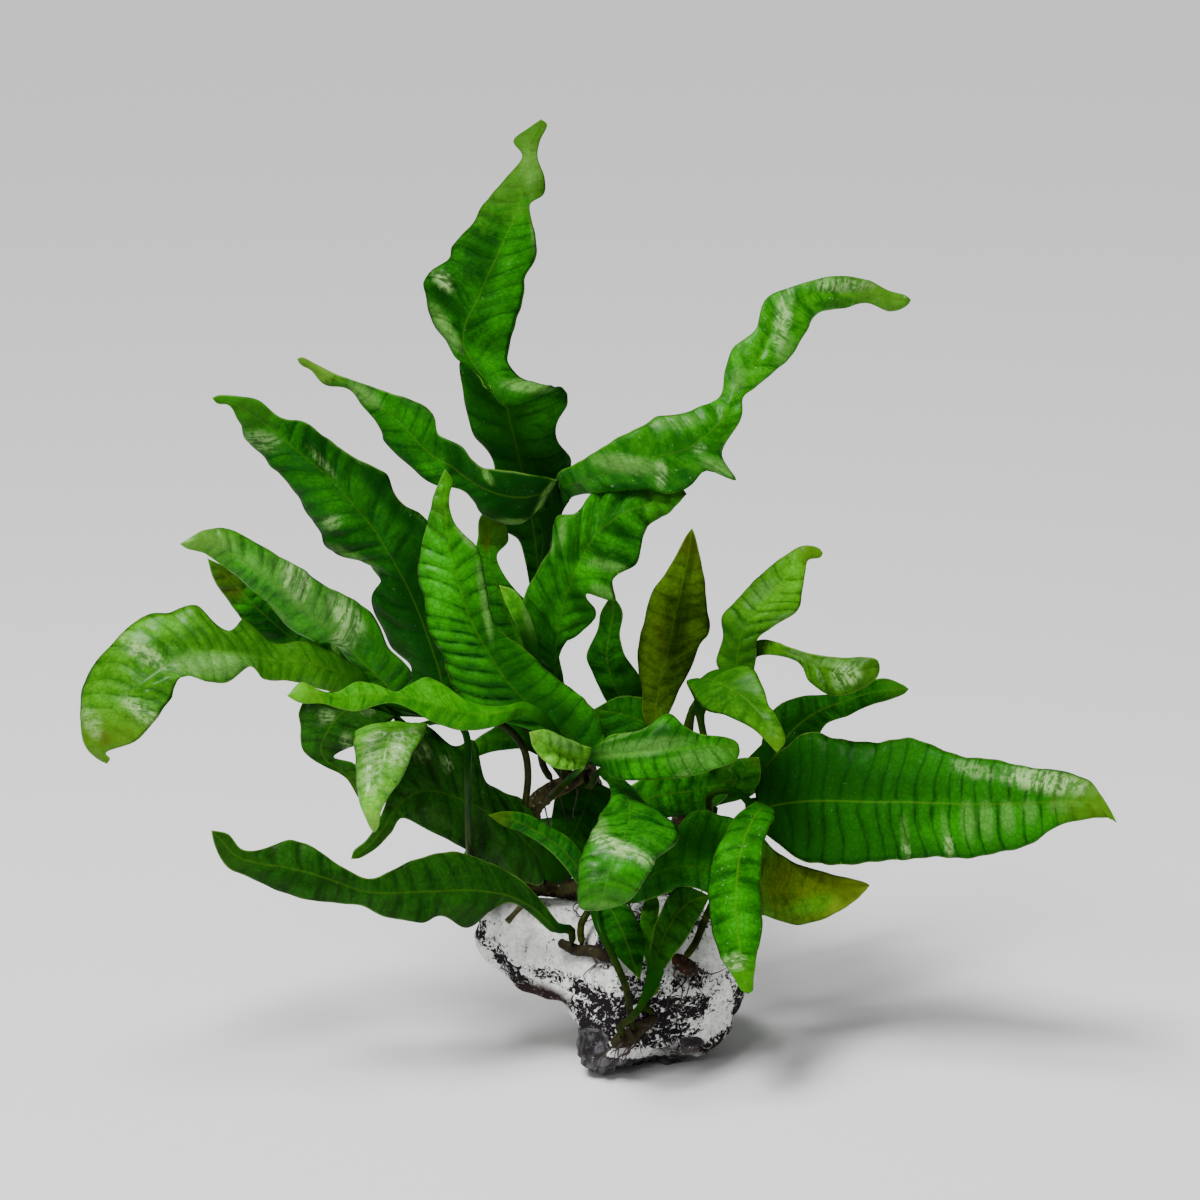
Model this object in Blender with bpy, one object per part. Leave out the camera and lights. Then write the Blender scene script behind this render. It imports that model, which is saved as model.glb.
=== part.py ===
"""A java fern on its stone: one solid for the stone, for each branch of the rhizome and for each frond.

The origin is the middle of the stone's flat base, +X to the right of the reference picture, +Y away from
its viewer and +Z up. Places read from the picture are pixels with a depth behind the origin in millimetres,
and picture_point turns them into real millimetres. Everything else is in millimetres until it becomes a mesh.
"""
import math

import bmesh
import bpy
from mathutils import Matrix, Vector, noise
from mathutils.bvhtree import BVHTree

# Driving dimensions, in millimetres
MM = 0.001
PIXEL_SIZE = 0.28            # real size of a picture pixel at the middle of the plant
VIEW_DISTANCE = 1100.0       # from the viewer to the middle of the plant
VIEW_ELEVATION = math.radians(15.0)
FRAME_CENTRE = 600.0         # pixel in the middle of the square picture
FRAME_RIGHT = -11.2          # that pixel's place, right of and above the origin in the picture's plane
FRAME_UP = 126.6
GAP = 0.35                   # between one piece and the next
MOVE_MARGIN = 0.02           # a little more than the gap, for rounding
BLADE_THICKNESS = 1.1        # at the midrib
BLADE_SHOULDER = 0.75        # halfway from the midrib to an edge
STALK_RADIUS = 1.0
STALK_LEAVES_RHIZOME = 5.0   # straight length of a stalk where it leaves the rhizome
STALK_SHOULDER = 0.7         # a stalk's shoulders lie on a circle, this part of its radius
BLADE_TIP = 0.4              # thickness at a blade's tip as a part of the whole
RHIZOME_SWELL = 0.06         # how much a rhizome's knots stand out of it
RHIZOME_NECK = 0.04          # and how much it is drawn in between them
SPLINE_LOOK = 0.02           # how far along a curve its direction is measured
SEAT_LOOK = 0.05
STONE_HEIGHT = 45.0
STONE_RADII = (27.0, 24.0, 20.0)
STONE_MIDDLE = Vector((0.0, 0.0, 25.0))
RHIZOME_GREEN = (0.09, 0.085, 0.02, 1.0)
RHIZOME_BROWN = (0.07, 0.03, 0.018, 1.0)


def picture_point(px, py, depth):
    """The real place seen at a pixel, depth mm behind the origin's vertical plane."""
    right = Vector((1.0, 0.0, 0.0))
    up = Vector((0.0, math.sin(VIEW_ELEVATION), math.cos(VIEW_ELEVATION)))
    forward = Vector((0.0, math.cos(VIEW_ELEVATION), -math.sin(VIEW_ELEVATION)))
    viewer = right * FRAME_RIGHT + up * FRAME_UP - forward * VIEW_DISTANCE
    ray = forward * VIEW_DISTANCE
    ray += right * (px - FRAME_CENTRE) * PIXEL_SIZE
    ray += up * (FRAME_CENTRE - py) * PIXEL_SIZE
    return viewer + ray * ((depth - viewer.y) / ray.y)


def along_spline(points, t):
    """A point on the smooth curve through the points, where t counts them from the first."""
    last = len(points) - 1
    i = min(int(t), last - 1)
    f = t - i
    p1, p2 = points[i], points[i + 1]
    p0 = points[i - 1] if i > 0 else p1 * 2 - p2
    p3 = points[i + 2] if i + 2 <= last else p2 * 2 - p1
    bend = (p0 * 2 - p1 * 5 + p2 * 4 - p3) * f * f + (p1 * 3 - p0 - p2 * 3 + p3) * f ** 3
    return p1 + ((p2 - p0) * f + bend) * 0.5


# The scene and its materials


def empty_scene():
    for thing in list(bpy.data.objects):
        bpy.data.objects.remove(thing, do_unlink=True)
    collection = bpy.data.collections.new("java_fern_on_stone")
    bpy.context.scene.collection.children.link(collection)
    return collection


def material(name, colour, roughness):
    mat = bpy.data.materials.new(name)
    mat.use_nodes = True
    shader = mat.node_tree.nodes["Principled BSDF"]
    shader.inputs["Base Color"].default_value = colour
    shader.inputs["Roughness"].default_value = roughness
    shader.inputs["Metallic"].default_value = 0.0
    return mat


def finished(name, bm, mat, collection):
    """Turn a closed bmesh in millimetres into a named object in metres."""
    bmesh.ops.transform(bm, matrix=Matrix.Scale(MM, 4), verts=bm.verts)
    bmesh.ops.recalc_face_normals(bm, faces=bm.faces)
    mesh = bpy.data.meshes.new(name)
    bm.to_mesh(mesh)
    bm.free()
    mesh.shade_smooth()
    mesh.set_sharp_from_angle(angle=math.radians(50.0))
    mesh.materials.append(mat)
    piece = bpy.data.objects.new(name, mesh)
    collection.objects.link(piece)
    return piece


# Stone

# Each bump on the stone: the way it points from the middle, its height and how wide it spreads
STONE_BUMPS = [
    ((-1.00, 0.00, 0.30), 21.0, 0.38),
    ((-0.95, 0.00, -0.05), 3.0, 0.25),
    ((-0.38, -0.62, -0.67), 10.8, 0.36),
    ((0.05, 0.05, -1.00), 9.0, 0.50),
    ((0.35, -0.45, -0.80), 3.5, 0.40),
    ((0.75, -0.30, -0.55), 5.0, 0.40),
    ((0.90, -0.20, 0.15), 4.0, 0.40),
    ((0.10, 0.80, -0.60), 7.0, 0.60),
    ((-0.45, 0.55, 0.35), 5.0, 0.45),
    ((-0.80, -0.05, -0.62), -7.5, 0.36),
]


def stone_point(direction):
    """The stone's surface, out from its middle along a unit direction."""
    reach = 1.0 / math.sqrt(sum((direction[i] / STONE_RADII[i]) ** 2 for i in range(3)))
    for aim, height, spread in STONE_BUMPS:
        away = (direction - Vector(aim).normalized()).length
        reach += height * math.exp(-(away / spread) ** 2)
    point = direction * reach
    reach += 2.2 * noise.noise(point / 13.0 + Vector((3.1, 7.7, 1.3)))
    reach += 1.5 * noise.noise(point / 6.5 + Vector((9.4, 2.2, 5.8)))
    pits = max(0.0, noise.noise(point / 8.0 + Vector((1.7, 4.9, 8.2))) - 0.18)
    point = direction * (reach - 5.0 * pits) + STONE_MIDDLE
    point.z = max(0.0, min(point.z, STONE_HEIGHT + 1.5))
    return point


def make_stone(collection):
    bm = bmesh.new()
    bmesh.ops.create_icosphere(bm, subdivisions=4, radius=1.0)
    for vertex in bm.verts:
        vertex.co = stone_point(vertex.co.normalized())
    surface = BVHTree.FromBMesh(bm)
    finished("stone", bm, material("stone", (0.62, 0.62, 0.6, 1.0), 0.85), collection)
    return surface


# Rhizome

# Where each branch of the rhizome runs, with its radius at each point, as real millimetres
RHIZOMES = {
    "rhizome_main": [
        (-44, 8, 44, 2.0), (-36, 7, 46, 2.8), (-26, 6, 48, 3.0), (-15, 5, 49, 3.1), (-4, 5, 49, 3.1),
        (7, 6, 49, 3.0), (16, 8, 47, 2.4),
    ],
    "rhizome_rising_middle": [
        (-22, 12, 51, 2.2), (-27, 10, 57, 2.6), (-30, 7, 64, 2.7), (-29.5, 4, 71, 2.7), (-25, 3, 75.5, 2.6),
        (-19, 2, 79, 2.4), (-13.5, 1, 83.5, 1.9),
    ],
    "rhizome_rising_right": [
        (19, 14, 47, 2.2), (15, 12, 54, 2.6), (12, 8, 61, 2.7), (11, 5, 67, 2.6), (13, 4, 73, 2.5),
        (16, 4, 80, 2.3), (18, 4, 87, 1.9),
    ],
    "rhizome_rising_back": [
        (-8, 15, 50, 2.4), (-10, 20, 58, 2.7), (-12, 23, 67, 2.7), (-15, 23, 76, 2.6), (-19, 22, 85, 2.4),
        (-22, 22, 92, 1.9),
    ],
    "rhizome_front_left": [
        (-23, -17, 39, 1.3), (-19, -18, 38, 1.6), (-13, -19, 36.5, 1.7), (-8, -20, 35, 1.4),
    ],
    "rhizome_front_right": [(8.5, -20, 35, 1.7), (11.5, -20, 33, 2.2), (14.5, -20, 30.5, 1.6)],
    "rhizome_foot": [(-8.5, -27, 13, 1.6), (-4.5, -27, 14, 2.1), (0, -26, 15.5, 1.9), (4.5, -25, 20, 1.4)],
}
BROWN_RHIZOMES = ("rhizome_front_right", "rhizome_front_left")
RESTING_RHIZOMES = ("rhizome_main", "rhizome_front_left", "rhizome_front_right", "rhizome_foot")


def moved_off(surface, point, distance):
    """The point, moved straight out of the stone until it is at least the distance from its surface."""
    for _ in range(6):
        nearest, normal, _face, away = surface.find_nearest(point)
        if (point - nearest).dot(normal) < 0.0:
            away = -away
        if away >= distance:
            break
        point = point + normal * (distance - away + MOVE_MARGIN)
    return point


def settle_rhizomes(surface):
    """Each rhizome's points, with those of the creeping ones laid on the stone."""
    routes = {}
    for name, stations in RHIZOMES.items():
        points = [Vector(station[:3]) for station in stations]
        radii = [station[3] for station in stations]
        if name in RESTING_RHIZOMES:
            points = [laid_down(surface, point, radius) for point, radius in zip(points, radii)]
        routes[name] = (points, radii)
    return routes


def laid_down(surface, point, radius):
    nearest, normal, _face, _away = surface.find_nearest(point)
    return moved_off(surface, nearest + normal * (radius + GAP), radius + GAP)


def make_rhizome(name, route, surface, collection):
    points, radii = route
    data = bpy.data.curves.new(name, "CURVE")
    data.dimensions = "3D"
    data.bevel_depth = MM
    data.bevel_resolution = 2
    data.use_fill_caps = True
    spline = data.splines.new("POLY")
    steps = 2 * (len(points) - 1)
    spline.points.add(steps)
    for k in range(steps + 1):
        t = k / 2.0
        place = along_spline(points, t)
        radius = along_spline([Vector((r, 0.0, 0.0)) for r in radii], t).x
        radius *= 1.0 + (RHIZOME_SWELL if k % 2 else -RHIZOME_NECK)
        if name in RESTING_RHIZOMES:
            place = moved_off(surface, place, radius + GAP)
        spline.points[k].co = (*(place * MM), 1.0)
        spline.points[k].radius = radius
    colour = RHIZOME_BROWN if name in BROWN_RHIZOMES else RHIZOME_GREEN
    data.materials.append(material(name, colour, 0.7))
    piece = bpy.data.objects.new(name, data)
    collection.objects.link(piece)


# Fronds

# Every frond has rows from its tip to where the blade meets the stalk: the midrib and its depth, then its
# two edges, as pixels of the picture. Two more numbers set an edge forward or back of where cup and roll
# put it. "blade" is how many even steps the solid takes along them, or "rings_at" names the rows it uses.
# "stalk" has further points of the stalk, and "seat" is the rhizome, how far along it and which way.
FRONDS = {
    "frond_top": dict(
        rows=[
            (541, 119, 34, 541, 119, 541, 119), (538, 126, 34, 527, 129, 547, 125),
            (530, 140, 33, 513, 140, 540, 141), (530, 157, 31, 522, 157, 538, 157),
            (527, 178, 28, 503, 180, 545, 179), (523, 195, 26, 489, 198, 543, 195),
            (519, 206, 25, 482, 207, 530, 205), (512, 224, 23, 472, 225, 533, 225),
            (503, 243, 20, 453, 243, 536, 243), (496, 259, 18, 449, 259, 536, 260),
            (489, 273, 16, 429, 273, 527, 274), (483, 287, 15, 423, 284, 524, 287),
            (476, 303, 13, 427, 303, 522, 303, 3, 0), (467, 321, 11, 433, 323, 518, 319, 6, 0),
            (463, 341, 9, 447, 343, 511, 339, 8, 0), (471, 360, 7, 459, 358, 508, 361, 4, 0),
            (487, 383, 3, 474, 373, 525, 380), (505, 406, 0, 489, 388, 550, 386),
            (505, 393, 9, 460, 361, 562, 389), (508, 412, 11, 464, 398, 567, 402),
            (514, 436, 13, 475, 436, 556, 434), (520, 462, 15, 493, 463, 571, 464),
            (527, 498, 18, 497, 500, 562, 500), (532, 520, 19, 500, 526, 560, 520),
            (535, 541, 20, 518, 541, 553, 541), (538, 566, 21, 526, 566, 551, 566),
            (540, 592, 22, 531, 593, 549, 592),
        ],
        rings_at=[0, 2, 4, 5, 6, 8, 10, 12, 14, 15, 16, 17, 18, 19, 20, 22, 24, 26],
        cup=0.12, roll=0.0, stem=2, stalk=[(543, 625, 23), (549, 668, 25)],
        seat=("rhizome_rising_back", 0.98, (-0.2, 0.5, 1.0)),
    ),
    "frond_upper_left_slim": dict(
        rows=[
            (297, 359, 38, 297, 359, 297, 359), (302, 361, 37, 303, 357, 302, 366),
            (314, 368, 36, 316, 364, 312, 371), (331, 377, 33, 334, 373, 325, 385),
            (349, 384, 29, 350, 379, 347, 389), (370, 400, 25, 379, 389, 362, 405),
            (396, 418, 21, 406, 398, 379, 426), (414, 437, 17, 432, 412, 384, 442),
            (432, 454, 14, 440, 434, 408, 466), (452, 467, 10, 462, 447, 436, 484),
            (476, 483, 7, 479, 466, 464, 491), (500, 494, 4, 502, 470, 483, 516),
            (524, 497, 3, 530, 473, 519, 525), (543, 493, 4, 555, 480, 540, 507),
            (551, 500, 7, 558, 486, 544, 512),
        ],
        cup=0.2, roll=-0.25, blade=10, stem=2,
        stalk=[(544, 560, 13), (540, 620, 16.5), (544, 675, 18)],
        seat=("rhizome_rising_back", 0.86, (-0.8, -0.8, 0.3)),
    ),
    "frond_upper_left_broad": dict(
        rows=[
            (212, 398, 26, 212, 398, 212, 398), (219, 400, 26, 220, 395, 218, 404),
            (231, 402, 26, 240, 397, 230, 406), (248, 412, 26, 260, 400, 240, 424),
            (266, 424, 26, 280, 416, 246, 442), (290, 443, 25, 306, 423, 268, 462),
            (314, 463, 25, 329, 439, 285, 478), (338, 486, 24, 354, 457, 301, 505),
            (358, 508, 23, 383, 471, 316, 527), (376, 532, 22, 398, 499, 331, 550),
            (392, 557, 21, 428, 519, 362, 563), (407, 585, 20, 446, 545, 382, 578),
            (419, 612, 19, 456, 582, 372, 602), (430, 642, 18, 462, 625, 390, 646),
            (440, 672, 17, 462, 662, 410, 668), (446, 695, 17, 460, 682, 412, 692),
        ],
        cup=0.15, roll=-0.3, blade=11, stem=2,
        stalk=[(468, 706, 17), (506, 713, 18), (540, 722, 19)],
        seat=("rhizome_rising_back", 0.74, (-1.0, 0.1, 0.4)),
    ),
    "frond_left_glossy": dict(
        rows=[
            (180, 544, -34, 180, 544, 180, 544), (187, 543, -34, 189, 538, 187, 549),
            (202, 541, -33, 204, 530, 202, 552), (222, 549, -31, 225, 528, 213, 559),
            (243, 561, -29, 250, 540, 236, 576), (265, 576, -27, 278, 555, 256, 594),
            (286, 593, -24, 302, 569, 272, 608), (308, 613, -21, 325, 585, 290, 629),
            (330, 631, -18, 350, 598, 313, 641), (350, 650, -15, 373, 613, 335, 645),
            (369, 668, -13, 387, 646, 354, 668), (386, 685, -11, 411, 670, 373, 690),
            (400, 701, -10, 413, 692, 391, 708),
        ],
        cup=0.25, roll=0.2, blade=9, stem=3,
        stalk=[(424, 709, -8), (464, 711, -6), (505, 714, -4), (536, 728, -2)],
        seat=("rhizome_rising_middle", 0.72, (-0.4, 0.0, 1.0)),
    ),
    "frond_left_shaded": dict(
        rows=[
            (207, 558, -14, 207, 558, 207, 558), (226, 575, -13, 240, 574, 214, 580),
            (246, 597, -12, 264, 590, 229, 602), (268, 618, -11, 287, 606, 247, 625),
            (292, 638, -9, 310, 622, 276, 650), (320, 660, -7, 337, 646, 306, 672),
            (350, 683, -5, 362, 670, 340, 694), (378, 704, -3, 384, 697, 372, 711),
        ],
        cup=0.1, roll=0.2, blade=6, stem=2,
        stalk=[(424, 714, 1), (470, 714, 4), (508, 717, 5), (532, 733, 4)],
        seat=("rhizome_rising_middle", 0.8, (-0.9, 0.3, 0.4)),
    ),
    "frond_far_left_drooping": dict(
        rows=[
            (107, 764, -40, 107, 764, 107, 764), (102, 758, -40, 94, 757, 110, 759),
            (98, 748, -40, 86, 747, 107, 752), (100, 732, -39, 81, 730, 136, 741),
            (110, 714, -38, 79, 704, 157, 718), (126, 698, -37, 84, 678, 170, 700),
            (144, 683, -36, 112, 646, 175, 683), (163, 669, -34, 141, 617, 187, 676),
            (186, 657, -32, 171, 612, 207, 682), (212, 651, -30, 197, 605, 230, 681),
            (236, 653, -28, 227, 631, 250, 667), (256, 658, -26, 245, 620, 263, 679),
            (280, 661, -24, 270, 642, 285, 681), (302, 661, -22, 299, 641, 304, 684),
            (323, 667, -20, 319, 645, 324, 690), (346, 676, -17, 346, 660, 346, 696),
        ],
        cup=0.15, roll=0.35, blade=11, stem=4,
        stalk=[
            (376, 698, -16), (424, 713, -14), (465, 718, -9), (500, 724, -8), (522, 745, -9), (528, 776, -7),
        ],
        seat=("rhizome_rising_middle", 0.5, (-0.2, -1.0, 0.1)),
    ),
    "frond_front_left_lime": dict(
        rows=[
            (287, 696, -46, 287, 696, 287, 696), (302, 692, -45, 301, 682, 301, 703),
            (319, 694, -43, 317, 689, 322, 704), (338, 697, -41, 336, 692, 340, 709),
            (356, 695, -39, 357, 681, 358, 711), (376, 695, -37, 372, 683, 376, 706),
            (395, 697, -35, 394, 692, 393, 703), (412, 699, -34, 408, 686, 412, 710),
            (434, 704, -33, 429, 677, 432, 722), (460, 712, -31, 453, 690, 458, 730),
            (486, 715, -29, 480, 705, 485, 729), (508, 711, -26, 505, 706, 506, 722),
            (526, 709, -23, 526, 702, 522, 716),
        ],
        cup=0.3, roll=0.5, blade=9, stem=3, stalk=[(546, 722, -24), (561, 742, -20)],
        seat=("rhizome_rising_middle", 0.87, (-0.3, -1.0, 0.4)),
    ),
    "frond_hanging_pale": dict(
        rows=[
            (374, 833, -40, 374, 833, 374, 833), (374, 826, -40, 369, 826, 379, 826),
            (374, 812, -40, 363, 811, 381, 812), (377, 795, -39, 357, 795, 389, 797),
            (381, 775, -37, 355, 776, 402, 778), (385, 755, -34, 355, 756, 412, 755),
            (389, 740, -31, 355, 741, 422, 741), (392, 730, -28, 357, 730, 427, 727),
            (404, 726, -23, 380, 727, 428, 725), (420, 724, -15, 413, 725, 429, 723),
        ],
        cup=0.2, roll=0.1, blade=8, stem=3,
        stalk=[(452, 722, -17), (467, 738, -19), (467, 790, -22), (470, 850, -19.5), (480, 880, -10)],
        seat=("rhizome_main", 0.13, (-0.2, -0.3, 1.0)),
    ),
    "frond_left_dark": dict(
        rows=[
            (359, 799, -20, 359, 799, 359, 799), (353, 783, -20, 362, 777, 344, 776),
            (341, 770, -20, 354, 763, 325, 765), (326, 760, -20, 334, 757, 308, 755),
            (321, 748, -20, 348, 749, 301, 745), (326, 734, -20, 368, 742, 300, 729),
            (336, 719, -19, 382, 730, 300, 711), (352, 708, -17, 394, 720, 312, 695),
            (380, 708, -12, 402, 718, 362, 694),
        ],
        cup=0.1, roll=0.0, blade=6, stem=2,
        stalk=[(402, 722, -8), (428, 752, -6), (452, 790, -4), (474, 840, 0)],
        seat=("rhizome_main", 0.27, (-0.4, 0.3, 1.0)),
    ),
    "frond_left_twisted": dict(
        rows=[
            (351, 859, -22, 351, 859, 351, 859), (357, 855, -22, 354, 850, 361, 858),
            (370, 845, -22, 366, 840, 377, 848), (383, 829, -21, 377, 823, 391, 833),
            (394, 811, -20, 386, 803, 402, 818), (408, 797, -19, 395, 776, 423, 828),
            (422, 791, -18, 408, 747, 442, 837), (440, 792, -17, 428, 727, 460, 846),
            (458, 798, -15, 450, 746, 478, 860, 0, 4), (478, 807, -13, 474, 740, 498, 872, 0, 5),
            (496, 817, -12, 483, 774, 514, 880), (512, 829, -10, 502, 790, 530, 884),
            (528, 845, -8, 526, 803, 541, 884), (544, 862, -6, 547, 848, 546, 876),
        ],
        cup=0.12, roll=0.15, blade=9, stem=2, stalk=[(562, 874, -4)],
        seat=("rhizome_main", 0.5, (-0.3, -0.5, 1.0)),
    ),
    "frond_low_left_long": dict(
        rows=[
            (211, 830, -44, 211, 830, 211, 830), (222, 841, -43, 228, 834, 215, 847),
            (236, 856, -42, 242, 849, 226, 866), (258, 863, -41, 262, 849, 248, 877),
            (284, 867, -40, 290, 840, 275, 890), (310, 873, -39, 312, 846, 303, 898),
            (337, 882, -38, 338, 865, 331, 903), (362, 891, -36, 367, 878, 362, 906),
            (388, 893, -34, 387, 873, 384, 917), (414, 892, -32, 412, 860, 420, 922),
            (440, 891, -30, 440, 853, 441, 916), (466, 890, -28, 466, 853, 468, 929),
            (490, 892, -26, 489, 862, 489, 912), (512, 897, -25, 513, 875, 509, 903),
            (534, 909, -24, 537, 895, 527, 911), (555, 928, -24, 559, 923, 551, 932),
        ],
        cup=0.12, roll=0.25, blade=11, stem=2, stalk=[],
        seat=("rhizome_front_left", 0.25, (-0.3, -0.3, 1.0)),
    ),
    "frond_middle_ribbed": dict(
        rows=[
            (445, 469, -5, 445, 469, 445, 469), (446, 480, -6, 439, 481, 453, 480),
            (445, 494, -7, 434, 494, 450, 494), (445, 508, -8, 431, 508, 450, 508),
            (447, 526, -9, 427, 523, 457, 527), (450, 550, -11, 420, 552, 476, 548),
            (457, 578, -13, 418, 578, 486, 574), (464, 602, -15, 424, 601, 490, 604),
            (474, 627, -16, 428, 626, 497, 628), (488, 652, -17, 440, 652, 519, 645),
            (507, 681, -17, 452, 684, 546, 668), (531, 706, -16, 478, 712, 571, 689),
            (556, 728, -14, 526, 726, 592, 706), (578, 744, -11, 560, 744, 604, 729),
            (592, 757, -8, 586, 759, 599, 752),
        ],
        cup=0.25, roll=-0.15, blade=11, stem=1, stalk=[],
        seat=("rhizome_rising_middle", 0.93, (-0.5, -0.1, 0.8)),
    ),
    "frond_ruffled": dict(
        rows=[
            (687, 494, -4, 687, 494, 687, 494), (682, 496, -4, 681, 489, 680, 501, 4, 0),
            (664, 500, -6, 664, 485, 670, 512, 5, 0), (641, 507, -7, 640, 483, 649, 526, 5, 0),
            (619, 516, -8, 618, 482, 641, 543, 5, 0), (601, 530, -9, 598, 490, 636, 564, 6, 0),
            (587, 548, -9, 577, 511, 613, 580), (577, 568, -8, 556, 518, 614, 601, 0, -2),
            (568, 590, -6, 550, 548, 587, 593), (562, 612, -4, 533, 578, 596, 614),
            (558, 634, -2, 522, 606, 585, 630, -5, 0), (555, 655, 1, 521, 644, 561, 648, -7, 0),
            (556, 676, 4, 541, 672, 563, 674),
        ],
        cup=0.1, roll=0.1, blade=10, stem=2, stalk=[(566, 704, 8), (582, 738, 12)],
        seat=("rhizome_rising_back", 0.6, (-0.1, -1.0, 0.3)),
    ),
    "frond_upper_right_long": dict(
        rows=[
            (911, 300, 22, 911, 300, 911, 300), (906, 301, 21, 905, 295, 905, 307),
            (889, 299, 20, 888, 290, 890, 312), (866, 292, 18, 868, 280, 866, 303),
            (838, 291, 15, 838, 276, 842, 309), (806, 297, 12, 802, 283, 818, 313),
            (785, 316, 9, 767, 298, 806, 332), (772, 340, 6, 755, 330, 791, 356),
            (755, 363, 3, 734, 347, 776, 371), (740, 381, 1, 725, 370, 756, 387),
            (732, 397, -1, 720, 395, 743, 398), (724, 417, -4, 702, 407, 741, 420),
            (708, 434, -7, 681, 413, 722, 452), (690, 447, -9, 660, 415, 737, 480, 0, -4), (680, 451, -9.5, 650, 421, 707, 471, 0, -1),
            (668, 454, -10, 640, 428, 692, 485), (645, 459, -10, 618, 437, 670, 492),
            (622, 467, -9, 602, 448, 643, 490), (600, 475, -6, 585, 458, 614, 492),
            (580, 482, -1, 571, 466, 591, 493), (562, 489, 7, 558, 476, 569, 500),
        ],
        cup=0.15, roll=0.1, blade=12, stem=3,
        stalk=[(557, 520, 13), (552, 590, 18), (550, 650, 22), (540, 690, 23)],
        seat=("rhizome_rising_back", 0.92, (-1.0, 0.3, 0.2)),
    ),
    "frond_olive_upright": dict(
        rows=[
            (692, 528, 28, 692, 528, 692, 528), (691, 535, 27, 686, 536, 695, 535),
            (689, 550, 26, 680, 547, 699, 551), (685, 572, 23, 667, 569, 703, 571),
            (681, 590, 20, 654, 588, 706, 590), (676, 612, 17, 647, 612, 708, 612),
            (672, 632, 14, 640, 634, 709, 632), (668, 651, 12, 637, 653, 701, 644),
            (663, 670, 10, 639, 673, 691, 669), (659, 690, 8, 642, 692, 681, 686),
            (656, 712, 6, 643, 714, 673, 706), (656, 730, 4, 649, 731, 664, 729),
        ],
        cup=0.2, roll=0.1, blade=8, stem=2, stalk=[(664, 752, 2), (676, 766, 1.5)],
        seat=("rhizome_rising_right", 0.8, (-0.9, -0.3, 0.3)),
    ),
    "frond_dark_upright": dict(
        rows=[
            (612, 594, 26, 612, 594, 612, 594), (613, 612, 24, 601, 611, 623, 612),
            (610, 632, 22, 597, 630, 620, 635), (607, 655, 19, 588, 655, 625, 655),
            (612, 680, 16, 595, 679, 638, 673), (624, 703, 14, 606, 703, 645, 697),
            (638, 724, 12, 622, 724, 652, 719),
        ],
        cup=0.15, roll=0.2, blade=6, stem=2, stalk=[(654, 756, 13)],
        seat=("rhizome_rising_right", 0.66, (-0.9, 0.4, 0.2)),
    ),
    "frond_yellow_green": dict(
        rows=[
            (823, 553, 14, 823, 553, 823, 553), (818, 553, 14, 817, 547, 820, 558),
            (806, 554, 13, 800, 546, 808, 561), (792, 571, 11, 779, 560, 805, 577),
            (777, 589, 9, 757, 578, 801, 598), (762, 606, 7, 740, 596, 796, 612),
            (746, 624, 6, 722, 617, 772, 628), (740, 641, 5, 722, 638, 757, 640),
            (737, 660, 5, 717, 660, 756, 660), (735, 682, 5, 724, 682, 748, 682),
        ],
        cup=0.2, roll=0.2, blade=7, stem=2, stalk=[(714, 690, 6), (699, 700, 4), (690, 716, 2)],
        seat=("rhizome_rising_right", 0.93, (-0.8, -0.5, 0.3)),
    ),
    "frond_drooping_lime": dict(
        rows=[
            (777, 753, -32, 777, 753, 777, 753), (774, 739, -31, 764, 739, 786, 739),
            (764, 719, -28, 752, 729, 777, 716), (750, 703, -24, 729, 717, 768, 703),
            (736, 692, -20, 709, 711, 762, 684), (722, 685, -16, 694, 697, 752, 667),
            (708, 681, -11, 687, 684, 734, 667), (699, 681, -6, 688, 679, 712, 673),
        ],
        cup=0.15, roll=0.1, blade=6, stem=2, stalk=[(702, 698, -4), (700, 716, -3)],
        seat=("rhizome_rising_right", 0.99, (0.2, -1.0, 0.3)),
    ),
    "frond_curled": dict(
        rows=[
            (880, 668, -10, 880, 668, 880, 668), (874, 668, -11, 876, 659, 876, 679),
            (856, 672, -11, 860, 657, 860, 690), (834, 673, -9, 838, 657, 834, 696),
            (814, 664, -5, 814, 654, 812, 684), (795, 654, 0, 792, 647, 799, 663),
            (776, 649, 6, 776, 642, 777, 656), (758, 648, 11, 758, 640, 757, 657),
        ],
        cup=-0.1, roll=0.3, blade=7, stem=3,
        stalk=[(738, 664, 12), (716, 692, 12), (699, 704, 11), (691, 718, 10)],
        seat=("rhizome_rising_right", 0.84, (-0.3, 1.0, 0.2)),
    ),
    "frond_right_pointed": dict(
        rows=[
            (909, 689, 16, 909, 689, 909, 689), (905, 689, 16, 902, 684, 904, 694),
            (888, 690, 15, 884, 678, 888, 701), (866, 694, 14, 862, 683, 869, 706),
            (842, 702, 13, 838, 693, 846, 716), (817, 712, 12, 808, 695, 827, 724),
            (796, 727, 11, 783, 703, 815, 740), (780, 746, 10, 768, 717, 800, 757),
            (768, 767, 10, 761, 745, 783, 775),
        ],
        cup=0.15, roll=0.25, blade=6, stem=2, stalk=[(752, 784, 10), (728, 790, 10)],
        seat=("rhizome_rising_right", 0.66, (0.9, 0.5, 0.1)),
    ),
    "frond_right_large": dict(
        rows=[
            (1117, 823, -38, 1117, 823, 1117, 823), (1110, 815, -37, 1110, 809, 1112, 820),
            (1098, 806, -35, 1101, 795, 1103, 818), (1080, 802, -33, 1088, 779, 1084, 819),
            (1055, 802, -31, 1064, 771, 1059, 826), (1028, 803, -28, 1036, 768, 1032, 843),
            (998, 804, -25, 1002, 761, 1002, 853), (966, 804, -23, 970, 757, 970, 857),
            (934, 803, -20, 938, 748, 938, 858), (902, 802, -17, 905, 737, 905, 859),
            (870, 802, -15, 874, 743, 872, 863), (841, 801, -12, 840, 738, 836, 864),
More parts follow.
